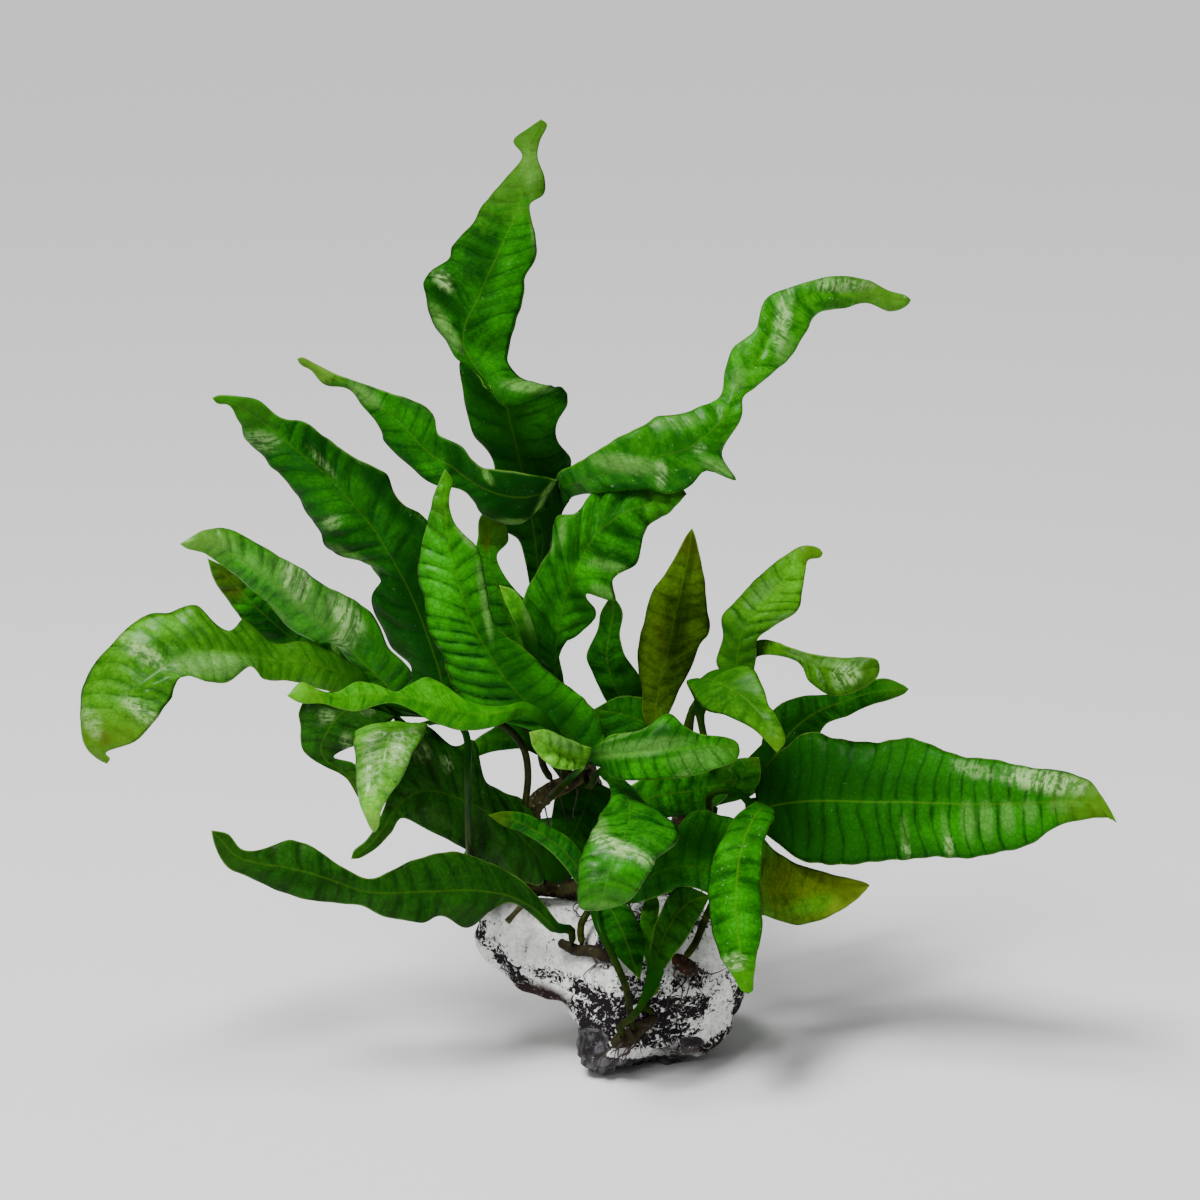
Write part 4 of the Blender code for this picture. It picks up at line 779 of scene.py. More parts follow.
fronds["frond_front_left_lime"] = dict(
    rows=[
        (287, 696, -46), (302, 692, -45, 301, 682, 301, 703), (319, 694, -43, 317, 689, 322, 704),
        (338, 697, -41, 336, 692, 340, 709), (356, 695, -39, 357, 681, 358, 711),
        (376, 695, -37, 372, 683, 376, 706), (395, 697, -35, 394, 692, 393, 703),
        (412, 699, -34, 408, 686, 412, 710), (434, 704, -33, 429, 677, 432, 722),
        (460, 712, -31, 453, 690, 458, 730), (486, 715, -29, 480, 705, 485, 729),
        (508, 711, -26, 505, 706, 506, 722), (526, 709, -23, 526, 702, 522, 716),
    ],
    cup=0.3, roll=0.5, stalk=[(546, 722, -24), (561, 742, -20)],
    seat=("rhizome_rising_middle", 0.87, (-0.3, -1.0, 0.4)), slot="frond_lime", look="lime",
    ribs=(5.0, 0.12), tipTint=(0.096, 0.276, 0.009, 0.5),
    marks=dict(
        light=[(300, 692, 12, 9, 0, 0.6), (440, 695, 30, 12, 20, 0.3)],
        shade=[(402, 702, 20, 4, 10, 0.3)],
    ),
)
fronds["frond_hanging_pale"] = dict(
    rows=[
        (374, 833, -40), (374, 826, -40, 369, 826, 379, 826), (374, 812, -40, 363, 811, 381, 812),
        (377, 795, -39, 357, 795, 389, 797), (381, 775, -37, 355, 776, 402, 778),
        (385, 755, -34, 355, 756, 412, 755), (389, 740, -31, 355, 741, 422, 741),
        (392, 730, -28, 357, 730, 427, 727), (404, 726, -23, 380, 727, 428, 725),
        (420, 724, -15, 413, 725, 429, 723),
    ],
    cup=0.2, roll=0.1,
    stalk=[(452, 722, -17), (467, 738, -19), (467, 790, -22), (470, 850, -19.5), (480, 880, -10)],
    seat=("rhizome_main", 0.13, (-0.2, -0.3, 1.0)), slot="frond_lime", look="pale", gloss=1.0, specks=0.6,
    ribs=(4.4, 0.4), tipTint=(0.12, 0.252, 0.018, 0.6),
    marks=dict(
        gleam=[(372, 765, 34, 12, 95, 0.9), (398, 752, 20, 12, 110, 0.9), (412, 733, 12, 5, 0, 0.7)],
        light=[(370, 806, 14, 9, 90, 0.8)],
    ),
    folds=[
        (385, 760, 26, 5, 100, 0.6), (372, 775, 30, 4, 95, -0.6), (400, 748, 18, 6, 110, 0.6),
        (366, 800, 14, 6, 90, 0.5),
    ],
)
fronds["frond_left_dark"] = dict(
    rows=[
        (359, 799, -20), (353, 783, -20, 362, 777, 344, 776), (341, 770, -20, 354, 763, 325, 765),
        (326, 760, -20, 334, 757, 308, 755), (321, 748, -20, 348, 749, 301, 745),
        (326, 734, -20, 368, 742, 300, 729), (336, 719, -19, 382, 730, 300, 711),
        (352, 708, -17, 394, 720, 312, 695), (380, 708, -12, 402, 718, 362, 694),
    ],
    cup=0.1, roll=0.0, stalk=[(402, 722, -8), (428, 752, -6), (452, 790, -4), (474, 840, 0)],
    seat=("rhizome_main", 0.27, (-0.4, 0.3, 1.0)), slot="frond_dark", look="dark", ribs=(5.0, 0.35),
    tipTint=(0.03, 0.072, 0.003, 0.6),
    marks=dict(
        gleam=[(326, 716, 9, 7, 0, 0.45), (368, 710, 7, 5, 0, 0.7), (346, 742, 6, 10, 0, 0.4)],
        light=[(308, 735, 8, 22, 0, 0.3)],
    ),
)
fronds["frond_left_twisted"] = dict(
    rows=[
        (351, 859, -22), (357, 855, -22, 354, 850, 361, 858), (370, 845, -22, 366, 840, 377, 848),
        (383, 829, -21, 377, 823, 391, 833), (394, 811, -20, 386, 803, 402, 818),
        (408, 797, -19, 395, 776, 423, 828), (422, 791, -18, 408, 747, 442, 837),
        (440, 792, -17, 428, 727, 460, 846), (458, 798, -15, 450, 746, 478, 860, 0, 4),
        (478, 807, -13, 474, 740, 498, 872, 0, 5), (496, 817, -12, 483, 774, 514, 880),
        (512, 829, -10, 502, 790, 530, 884), (528, 845, -8, 526, 803, 541, 884),
        (544, 862, -6, 547, 848, 546, 876),
    ],
    cup=0.12, roll=0.15, stalk=[(562, 874, -4)], seat=("rhizome_main", 0.5, (-0.3, -0.5, 1.0)),
    slot="frond_dark", look="dark", baseShade=0.2, ribs=(5.4, 0.3), tipTint=(0.012, 0.054, 0.003, 0.3),
    marks=dict(
        gleam=[(422, 753, 10, 8, 90, 0.6), (446, 764, 7, 6, 0, 0.6)],
        light=[(400, 815, 20, 10, -50, 0.4)],
        rust=[(388, 838, 14, 5, -50, 0.4)],
    ),
)
fronds["frond_low_left_long"] = dict(
    rows=[
        (211, 830, -44), (222, 841, -43, 228, 834, 215, 847), (236, 856, -42, 242, 849, 226, 866),
        (258, 863, -41, 262, 849, 248, 877), (284, 867, -40, 290, 840, 275, 890),
        (310, 873, -39, 312, 846, 303, 898), (337, 882, -38, 338, 865, 331, 903),
        (362, 891, -36, 367, 878, 362, 906), (388, 893, -34, 387, 873, 384, 917),
        (414, 892, -32, 412, 860, 420, 922), (440, 891, -30, 440, 853, 441, 916),
        (466, 890, -28, 466, 853, 468, 929), (490, 892, -26, 489, 862, 489, 912),
        (512, 897, -25, 513, 875, 509, 903), (534, 909, -24, 537, 895, 527, 911),
        (555, 928, -24, 559, 923, 551, 932),
    ],
    cup=0.12, roll=0.25, stalk=[], seat=("rhizome_front_left", 0.25, (-0.3, -0.3, 1.0)), slot="frond_dark",
    look="dark", ribs=(6.0, 0.2), tipTint=(0.009, 0.048, 0.0012, 0.6),
    marks=dict(
        light=[(230, 850, 20, 8, 40, 0.3)],
        shade=[(300, 880, 60, 8, 5, 0.4)],
    ),
)
fronds["frond_middle_ribbed"] = dict(
    rows=[
        (445, 469, -5), (446, 480, -6, 439, 481, 453, 480), (445, 494, -7, 434, 494, 450, 494),
        (445, 508, -8, 431, 508, 450, 508), (447, 526, -9, 427, 523, 457, 527),
        (450, 550, -11, 420, 552, 476, 548), (457, 578, -13, 418, 578, 486, 574),
        (464, 602, -15, 424, 601, 490, 604), (474, 627, -16, 428, 626, 497, 628),
        (488, 652, -17, 440, 652, 519, 645), (507, 681, -17, 452, 684, 546, 668),
        (531, 706, -16, 478, 712, 571, 689), (556, 728, -14, 526, 726, 592, 706),
        (578, 744, -11, 560, 744, 604, 729), (592, 757, -8, 586, 759, 599, 752),
    ],
    cup=0.25, roll=-0.15, stalk=[], seat=("rhizome_rising_middle", 0.93, (-0.5, -0.1, 0.8)), look="mid",
    sides=(1.3, 0.35), contrast=0.4, valleyShade=0.4, ribs=(4.6, 0.6), tipTint=(0.036, 0.144, 0.003, 0.5),
    marks=dict(
        shade=[
            (505, 655, 55, 18, 55, 0.8), (530, 705, 60, 18, 25, 0.6), (475, 620, 50, 8, 70, 0.5),
            (455, 690, 14, 8, 60, 0.3),
        ],
        light=[(585, 705, 24, 16, 50, 0.5), (440, 580, 50, 14, 85, 0.5), (445, 490, 14, 8, 90, 0.6)],
        pale=[(484, 600, 44, 4, 80, 0.9), (466, 538, 16, 4, 50, 0.9)],
    ),
)
fronds["frond_ruffled"] = dict(
    rows=[
        (687, 494, -4), (682, 496, -4, 681, 489, 680, 501, 4, 0), (664, 500, -6, 664, 485, 670, 512, 5, 0),
        (641, 507, -7, 640, 483, 649, 526, 5, 0), (619, 516, -8, 618, 482, 641, 543, 5, 0),
        (601, 530, -9, 598, 490, 636, 564, 6, 0), (587, 548, -9, 577, 511, 613, 580),
        (577, 568, -8, 556, 518, 614, 601, 0, -2), (568, 590, -6, 550, 548, 587, 593),
        (562, 612, -4, 533, 578, 596, 614), (558, 634, -2, 522, 606, 585, 630, -5, 0),
        (555, 655, 1, 521, 644, 561, 648, -7, 0), (556, 676, 4, 541, 672, 563, 674),
    ],
    cup=0.1, roll=0.1, stalk=[(566, 704, 8), (582, 738, 12)],
    seat=("rhizome_rising_back", 0.6, (-0.1, -1.0, 0.3)), look="mid", gloss=0.08, ribs=(7.0, 0.9),
    tipTint=(0.036, 0.156, 0.006, 0.5),
    marks=dict(
        pale=[
            (608, 566, 24, 6, 12, 0.6), (603, 592, 14, 7, 15, 0.7), (562, 532, 16, 4, 95, 0.7),
            (551, 541, 13, 3, 80, 0.9),
        ],
        shade=[
            (622, 532, 24, 6, 45, 0.8), (625, 490, 40, 6, 5, 1.0), (598, 552, 26, 5, 60, 0.6),
            (572, 548, 26, 5, 85, 0.6), (580, 604, 20, 8, 60, 0.7), (548, 610, 26, 6, 110, 0.5),
        ],
        light=[(590, 573, 30, 8, 15, 0.6), (665, 503, 18, 8, -10, 0.7), (560, 625, 14, 8, 30, 0.4)],
    ),
    folds=[
        (562, 535, 24, 5, 80, 0.8), (577, 548, 32, 6, 75, -0.9), (592, 540, 30, 6, 68, 0.8),
        (613, 526, 30, 6, 42, -0.9), (622, 547, 26, 5, 25, 0.8), (632, 520, 20, 6, 40, 0.6),
        (606, 558, 24, 5, 45, -0.7), (606, 570, 26, 7, 12, 0.7), (570, 590, 26, 6, 75, -0.8),
        (560, 612, 24, 7, 60, 0.7), (585, 606, 18, 6, 75, 0.6), (548, 625, 22, 6, 70, -0.7),
        (595, 512, 20, 6, 60, 0.6),
    ],
)
fronds["frond_upper_right_long"] = dict(
    rows=[
        (911, 300, 22), (906, 301, 21, 905, 295, 905, 307), (889, 299, 20, 888, 290, 890, 312),
        (866, 292, 18, 868, 280, 866, 303), (838, 291, 15, 838, 276, 842, 309),
        (806, 297, 12, 802, 283, 818, 313), (785, 316, 9, 767, 298, 806, 332),
        (772, 340, 6, 755, 330, 791, 356), (755, 363, 3, 734, 347, 776, 371),
        (740, 381, 1, 725, 370, 756, 387), (732, 397, -1, 720, 395, 743, 398),
        (724, 417, -4, 702, 407, 741, 420), (708, 434, -7, 681, 413, 722, 452),
        (690, 447, -9, 660, 415, 737, 480, 0, -4), (680, 451, -9.5, 650, 421, 707, 471, 0, -1),
        (668, 454, -10, 640, 428, 692, 485), (645, 459, -10, 618, 437, 670, 492),
        (622, 467, -9, 602, 448, 643, 490), (600, 475, -6, 585, 458, 614, 492),
        (580, 482, -1, 571, 466, 591, 493), (562, 489, 7, 558, 476, 569, 500),
    ],
    cup=0.15, roll=0.1, stalk=[(557, 520, 13), (552, 590, 18), (550, 650, 22), (540, 690, 23)],
    seat=("rhizome_rising_back", 0.92, (-1.0, 0.3, 0.2)), look="bright", gloss=0.3, specks=0.3,
    ribs=(6.0, 0.3), tipTint=(0.072, 0.204, 0.012, 0.7),
    marks=dict(
        gleam=[
            (783, 318, 34, 9, 100, 0.8), (840, 285, 34, 7, 0, 0.7), (661, 474, 14, 6, 90, 0.7),
            (700, 448, 7, 5, 0, 0.6),
        ],
        pale=[
            (785, 350, 16, 7, 120, 0.6), (678, 421, 30, 8, -5, 0.5), (626, 464, 36, 10, 8, 0.9),
            (720, 468, 20, 8, 25, 0.9), (738, 380, 14, 8, 100, 0.5),
        ],
        shade=[(686, 443, 20, 12, 0, 0.6), (626, 488, 26, 5, 2, 1.0), (838, 303, 24, 5, -5, 0.7)],
    ),
    folds=[
        (790, 315, 30, 6, 105, 0.6), (765, 345, 26, 5, 110, -0.6), (840, 292, 34, 4, 0, -0.6),
        (700, 440, 24, 7, 20, 0.6), (680, 455, 30, 5, 0, -0.6), (640, 465, 34, 7, 10, 0.5),
        (722, 420, 22, 6, 110, 0.5),
    ],
)
fronds["frond_olive_upright"] = dict(
    rows=[
        (692, 528, 28), (691, 535, 27, 686, 536, 695, 535), (689, 550, 26, 680, 547, 699, 551),
        (685, 572, 23, 667, 569, 703, 571), (681, 590, 20, 654, 588, 706, 590),
        (676, 612, 17, 647, 612, 708, 612), (672, 632, 14, 640, 634, 709, 632),
        (668, 651, 12, 637, 653, 701, 644), (663, 670, 10, 639, 673, 691, 669),
        (659, 690, 8, 642, 692, 681, 686), (656, 712, 6, 643, 714, 673, 706),
        (656, 730, 4, 649, 731, 664, 729),
    ],
    cup=0.2, roll=0.1, stalk=[(664, 752, 2), (676, 766, 1.5)],
    seat=("rhizome_rising_right", 0.8, (-0.9, -0.3, 0.3)), slot="frond_olive", look="olive", baseShade=0.1,
    gloss=0.0, ribs=(4.4, 0.15), tipTint=(0.036, 0.048, 0.0018, 0.7),
    marks=dict(
        olive=[(655, 640, 30, 12, 95, 0.6)],
        light=[
            (650, 660, 32, 9, 95, 0.9), (656, 600, 50, 10, 100, 0.4), (696, 628, 12, 8, 0, 0.5),
            (655, 668, 14, 10, 0, 0.5),
        ],
        shade=[(681, 605, 50, 3, 99, 0.9), (690, 560, 30, 5, 100, 0.8), (684, 610, 30, 7, 95, 0.6)],
    ),
    folds=[(668, 600, 30, 5, 100, 0.4), (680, 600, 60, 3, 98, -0.6), (700, 620, 18, 6, 60, 0.5)],
)
fronds["frond_dark_upright"] = dict(
    rows=[
        (612, 594, 26), (613, 612, 24, 601, 611, 623, 612), (610, 632, 22, 597, 630, 620, 635),
        (607, 655, 19, 588, 655, 625, 655), (612, 680, 16, 595, 679, 638, 673),
        (624, 703, 14, 606, 703, 645, 697), (638, 724, 12, 622, 724, 652, 719),
    ],
    cup=0.15, roll=0.2, stalk=[(654, 756, 13)], seat=("rhizome_rising_right", 0.66, (-0.9, 0.4, 0.2)),
    slot="frond_dark", look="deep", gloss=0.0, ribs=(5.6, 0.5), tipTint=(0.006, 0.042, 0.0012, 0.7),
    marks=dict(
        gleam=[(652, 700, 10, 6, 0, 0.3)],
        light=[(610, 680, 14, 8, 0, 0.5)],
    ),
)
fronds["frond_yellow_green"] = dict(
    rows=[
        (823, 553, 14), (818, 553, 14, 817, 547, 820, 558), (806, 554, 13, 800, 546, 808, 561),
        (792, 571, 11, 779, 560, 805, 577), (777, 589, 9, 757, 578, 801, 598),
        (762, 606, 7, 740, 596, 796, 612), (746, 624, 6, 722, 617, 772, 628),
        (740, 641, 5, 722, 638, 757, 640), (737, 660, 5, 717, 660, 756, 660),
        (735, 682, 5, 724, 682, 748, 682),
    ],
    cup=0.2, roll=0.2, stalk=[(714, 690, 6), (699, 700, 4), (690, 716, 2)],
    seat=("rhizome_rising_right", 0.93, (-0.8, -0.5, 0.3)), look="fresh", gloss=0.15, valleyShade=0.5,
    contrast=0.5, ribs=(4.6, 0.4), tipTint=(0.072, 0.132, 0.003, 0.5),
    marks=dict(
        pale=[(762, 592, 20, 8, -40, 0.6), (786, 618, 16, 5, -15, 0.8)],
        shade=[(745, 655, 30, 20, 90, 0.7), (735, 640, 22, 16, 90, 0.7)],
        light=[(794, 575, 24, 10, 100, 0.7), (770, 600, 26, 8, -50, 0.4)],
    ),
)
fronds["frond_drooping_lime"] = dict(
    rows=[
        (777, 753, -32), (774, 739, -31, 764, 739, 786, 739), (764, 719, -28, 752, 729, 777, 716),
        (750, 703, -24, 729, 717, 768, 703), (736, 692, -20, 709, 711, 762, 684),
        (722, 685, -16, 694, 697, 752, 667), (708, 681, -11, 687, 684, 734, 667),
        (699, 681, -6, 688, 679, 712, 673),
    ],
    cup=0.15, roll=0.1, stalk=[(702, 698, -4), (700, 716, -3)],
    seat=("rhizome_rising_right", 0.99, (0.2, -1.0, 0.3)), slot="frond_lime", look="fresh", contrast=0.1,
    ribs=(4.0, 0.15), tipTint=(0.09, 0.216, 0.006, 0.4),
    marks=dict(
        shade=[(750, 700, 10, 30, -30, 0.5), (733, 682, 12, 6, 30, 0.4), (700, 672, 20, 8, 0, 0.3)],
    ),
)
fronds["frond_curled"] = dict(
    rows=[
        (880, 668, -10), (874, 668, -11, 876, 659, 876, 679), (856, 672, -11, 860, 657, 860, 690),
        (834, 673, -9, 838, 657, 834, 696), (814, 664, -5, 814, 654, 812, 684),
        (795, 654, 0, 792, 647, 799, 663), (776, 649, 6, 776, 642, 777, 656),
        (758, 648, 11, 758, 640, 757, 657),
    ],
    cup=-0.1, roll=0.3, stalk=[(738, 664, 12), (716, 692, 12), (699, 704, 11), (691, 718, 10)],
    seat=("rhizome_rising_right", 0.84, (-0.3, 1.0, 0.2)), look="oliveGreen", baseShade=0.1, ribs=(4.6, 0.35),
    tipTint=(0.024, 0.084, 0.003, 0.6),
    marks=dict(
        light=[(772, 646, 24, 12, 12, 0.9)],
        gleam=[(846, 674, 15, 12, 0, 0.7)],
        pale=[(830, 663, 22, 5, 3, 0.6), (800, 655, 14, 5, 15, 0.8)],
        shade=[(858, 684, 12, 6, -20, 0.6)],
    ),
    folds=[(846, 672, 16, 5, 20, 0.6), (838, 684, 14, 4, 30, -0.6), (862, 668, 8, 6, 0, 0.6)],
)
fronds["frond_right_pointed"] = dict(
    rows=[
        (909, 689, 16), (905, 689, 16, 902, 684, 904, 694), (888, 690, 15, 884, 678, 888, 701),
        (866, 694, 14, 862, 683, 869, 706), (842, 702, 13, 838, 693, 846, 716),
        (817, 712, 12, 808, 695, 827, 724), (796, 727, 11, 783, 703, 815, 740),
        (780, 746, 10, 768, 717, 800, 757), (768, 767, 10, 761, 745, 783, 775),
    ],
    cup=0.15, roll=0.25, stalk=[(752, 784, 10), (728, 790, 10)],
    seat=("rhizome_rising_right", 0.66, (0.9, 0.5, 0.1)), look="deep", gloss=0.0, ribs=(5.4, 0.35),
    tipTint=(0.03, 0.12, 0.006, 0.6),
    marks=dict(
        light=[(893, 689, 14, 8, 0, 0.6)],
        shade=[(790, 738, 40, 18, -40, 0.9)],
    ),
)
fronds["frond_right_large"] = dict(
    rows=[
        (1117, 823, -38), (1110, 815, -37, 1110, 809, 1112, 820), (1098, 806, -35, 1101, 795, 1103, 818),
        (1080, 802, -33, 1088, 779, 1084, 819), (1055, 802, -31, 1064, 771, 1059, 826),
        (1028, 803, -28, 1036, 768, 1032, 843), (998, 804, -25, 1002, 761, 1002, 853),
        (966, 804, -23, 970, 757, 970, 857), (934, 803, -20, 938, 748, 938, 858),
        (902, 802, -17, 905, 737, 905, 859), (870, 802, -15, 874, 743, 872, 863),
        (841, 801, -12, 840, 738, 836, 864), (813, 801, -9, 812, 733, 806, 863),
        (789, 803, -7, 788, 744, 786, 849), (769, 807, -5, 767, 764, 768, 835),
        (757, 812, -4, 755, 790, 753, 827),
    ],
    cup=0.12, roll=0.3, stalk=[(744, 797, -5), (729, 790, -6), (710, 796, -5)],
    seat=("rhizome_rising_right", 0.52, (1.0, -0.3, 0.5)), look="deep", gloss=0.05, slant=0.1,
    sides=(0.35, 1.0), contrast=0.6, baseShade=0.8, wings=5.0, midrib=0.25, valleyShade=0.5, ribs=(4.5, 0.55),
    tipTint=(0.078, 0.156, 0.006, 0.6),
    marks=dict(
        light=[(920, 765, 60, 14, 5, 0.5), (990, 826, 80, 18, -5, 0.8), (1085, 800, 22, 14, 20, 0.5)],
        pale=[
            (1030, 812, 9, 14, -10, 0.5), (905, 832, 4.5, 18, -4, 0.45), (945, 828, 4, 18, -8, 0.5),
            (1062, 806, 16, 8, -6, 0.4), (968, 822, 8, 22, -6, 0.6), (987, 820, 8, 22, -6, 0.6),
            (1008, 817, 8, 18, -6, 0.6),
        ],
        shade=[
            (977, 822, 2.5, 22, -6, 0.8), (998, 818, 2.5, 20, -6, 0.8), (850, 772, 120, 27, 2, 0.55),
            (775, 815, 20, 40, 0, 0.5),
        ],
        gleam=[
            (1044, 781, 48, 12, 10, 0.9), (975, 770, 26, 8, 15, 0.5), (906, 850, 8, 4, 70, 0.8),
            (948, 843, 14, 4, 75, 0.8),
        ],
    ),
    folds=[
        (1045, 785, 40, 8, 8, 0.7), (1000, 775, 40, 5, 10, -0.5), (900, 800, 120, 3, 0, -0.6),
        (1010, 805, 60, 3, -3, -0.5),
    ],
)
fronds["frond_front_right_hanging"] = dict(
    rows=[
        (748, 994, -46), (748, 991, -46, 741, 990, 753, 991), (744, 976, -46, 732, 975, 754, 976),
        (741, 955, -45, 720, 957, 757, 955), (738, 930, -43, 713, 935, 762, 930),
        (736, 905, -40, 709, 910, 762, 905), (737, 880, -37, 709, 885, 761, 880),
        (740, 856, -33, 713, 858, 762, 854), (746, 836, -29, 722, 834, 768, 832),
        (754, 818, -24, 738, 814, 774, 818), (762, 806, -18, 756, 802, 772, 808),
    ],
    cup=0.2, roll=0.05, stalk=[(757, 804, -14), (745, 818, -17), (722, 880, -26), (704, 922, -22)],
    seat=("rhizome_front_right", 0.35, (0.2, -0.2, 1.0)), look="mid", gloss=0.0, specks=0.2, baseShade=0.3,
    midrib=0.35, contrast=0.25, ribs=(5.5, 0.22), tipTint=(0.054, 0.252, 0.0045, 0.6),
    marks=dict(
        gleam=[(735, 962, 12, 9, 0, 0.9)],
        light=[(738, 915, 34, 16, 90, 0.4), (728, 850, 12, 10, 0, 0.4)],
    ),
)
fronds["frond_low_right_olive"] = dict(
    rows=[
        (870, 885, -4), (866, 886, -4, 864, 882, 865, 892), (848, 888, -6, 846, 877, 853, 902),
        (824, 892, -8, 822, 871, 828, 917), (798, 893, -10, 796, 863, 800, 925),
        (772, 889, -12, 770, 846, 770, 918), (745, 880, -15, 745, 822, 745, 910),
        (718, 872, -17, 718, 814, 718, 899), (692, 866, -19, 692, 812, 691, 887),
        (669, 868, -20, 669, 836, 668, 893), (648, 877, -20, 650, 858, 645, 901),
        (632, 889, -19, 634, 880, 630, 903),
    ],
    cup=0.12, roll=0.25, stalk=[(622, 893, -12)], seat=("rhizome_main", 0.72, (0.1, -0.9, 0.5)),
    slot="frond_olive", look="mid", baseShade=0.5, ribs=(4.4, 0.15), tipTint=(0.18, 0.276, 0.012, 0.8),
    marks=dict(
        olive=[(845, 888, 24, 18, 0, 1.0), (822, 885, 70, 50, 0, 1.0)],
        shade=[(700, 842, 40, 18, 10, 0.7)],
        light=[(815, 905, 30, 10, -10, 0.4)],
    ),
)
fronds["frond_front_folded"] = dict(
    rows=[
        (598, 911, -54), (602, 900, -54, 581, 907, 626, 903), (607, 881, -53, 578, 882, 643, 883),
        (613, 863, -51, 579, 860, 655, 865), (617, 855, -49, 582, 850, 658, 858),
        (622, 842, -46, 589, 838, 676, 843), (628, 827, -40, 596, 824, 677, 829),
        (630, 812, -33, 602, 813, 662, 812), (627, 798, -26, 610, 798, 644, 799),
        (619, 786, -19, 609, 786, 632, 786), (609, 777, -13, 602, 778, 618, 774),
    ],
    cup=0.15, roll=0.05, stalk=[(601, 769, -9)], seat=("rhizome_rising_middle", 0.95, (0.2, -1.0, -0.3)),
    look="mid", gloss=0.5, baseShade=0.2, ribs=(6.0, 0.3), tipTint=(0.018, 0.096, 0.003, 0.5),
    marks=dict(
        gleam=[(620, 848, 46, 8, 25, 1.0)],
        pale=[(600, 826, 12, 8, 70, 0.8), (600, 905, 20, 4, 0, 0.7)],
        shade=[(600, 872, 14, 10, 0, 0.4)],
        light=[(640, 866, 20, 8, 10, 0.5)],
    ),
    folds=[
        (622, 846, 44, 6, 22, 0.9), (610, 862, 40, 6, 20, -0.7), (618, 830, 34, 5, 70, -0.5),
        (650, 822, 18, 7, 60, 0.6), (605, 885, 30, 8, 0, 0.5), (640, 862, 14, 5, 30, 0.5),
    ],
)
fronds["frond_lime_crumpled"] = dict(
    rows=[
        (529, 732, -36), (541, 742, -35, 545, 729, 535, 751), (557, 751, -33, 563, 736, 552, 767),
        (574, 757, -28, 580, 744, 572, 770), (586, 762, -22, 590, 752, 583, 770),
    ],
    cup=-0.2, roll=0.3, stalk=[], seat=("rhizome_rising_middle", 0.73, (-0.1, -1.0, 0.1)), slot="frond_lime",
    look="pale", baseShade=0.0, contrast=0.45, ribs=(4.0, 0.5), tipTint=(0.12, 0.27, 0.018, 0.5),
    marks=dict(
        pale=[(565, 743, 20, 7, 25, 1.0)],
        light=[(552, 762, 20, 6, 20, 0.6)],
        shade=[(540, 748, 14, 5, 30, 0.4)],
    ),
    folds=[
        (566, 742, 22, 6, 25, 0.8), (560, 755, 26, 4, 20, -0.7), (545, 738, 14, 6, 60, 0.6),
        (560, 766, 24, 5, 5, 0.6),
    ],
)
fronds["frond_level_middle"] = dict(
    rows=[
        (740, 750, -22), (737, 749, -23, 737, 741, 738, 757), (722, 747, -26, 726, 737, 730, 764),
        (702, 746, -29, 702, 734, 708, 771), (682, 748, -31, 684, 727, 686, 778),
        (662, 751, -32, 668, 713, 660, 780), (638, 752, -31, 642, 728, 636, 780),
        (616, 755, -27, 614, 735, 616, 778), (600, 757, -20, 598, 745, 603, 768),
    ],
    cup=0.15, roll=0.35, stalk=[(592, 756, -15)], seat=("rhizome_rising_middle", 1.0, (0.0, -0.8, 0.5)),
    look="mid", baseShade=0.2, gloss=0.1, valleyShade=0.5, contrast=0.35, ribs=(4.0, 0.2),
    tipTint=(0.048, 0.192, 0.009, 0.5),
    marks=dict(
        pale=[
            (640, 748, 60, 9, -8, 0.6), (705, 758, 30, 14, -10, 0.5), (684, 774, 11, 4, -12, 0.8),
            (700, 758, 34, 9, -10, 0.6), (630, 733, 34, 2, -20, 0.8),
        ],
        shade=[(650, 738, 50, 13, -10, 0.9), (612, 765, 20, 14, 0, 0.5), (650, 757, 60, 3, -8, 0.5)],
        light=[(715, 752, 22, 14, 0, 0.4), (650, 770, 30, 6, 0, 0.4)],
    ),
    folds=[
        (640, 752, 60, 3, -5, -0.6), (690, 748, 22, 6, 75, 0.6), (705, 752, 20, 3, 70, -0.6),
        (718, 752, 18, 6, 70, 0.6), (672, 730, 16, 8, 40, 0.7), (650, 765, 34, 6, 0, 0.5),
    ],
)
fronds["frond_shaded_middle"] = dict(
    rows=[
        (738, 778, 1), (720, 784, 0, 718, 764, 722, 802), (695, 790, -2, 693, 764, 694, 814),
        (668, 794, -4, 666, 770, 668, 818), (644, 800, -6, 642, 778, 644, 820),
        (624, 812, -9, 620, 796, 630, 824), (610, 830, -11, 604, 822, 616, 834),
    ],
    cup=0.1, roll=0.15, stalk=[(600, 866, -11), (593, 902, -12)],
    seat=("rhizome_front_left", 0.45, (0.4, -0.1, 1.0)), slot="frond_dark", look="mid", ribs=(5.6, 0.35),
    tipTint=(0.012, 0.06, 0.003, 0.4),
)
fronds["frond_olive_small"] = dict(
    rows=[
        (759, 757, 6), (750, 768, 5, 737, 759, 761, 772), (739, 782, 4.5, 727, 771, 755, 793),
        (725, 794, 4, 714, 785, 736, 800), (712, 801, 4, 707, 797, 716, 806),
    ],
    cup=0.1, roll=0.0, stalk=[], seat=("rhizome_rising_right", 0.62, (1.0, 0.0, 0.5)), slot="frond_olive",
    look="bright", ribs=(4.4, 0.4), tipTint=(0.048, 0.102, 0.003, 0.5),
)
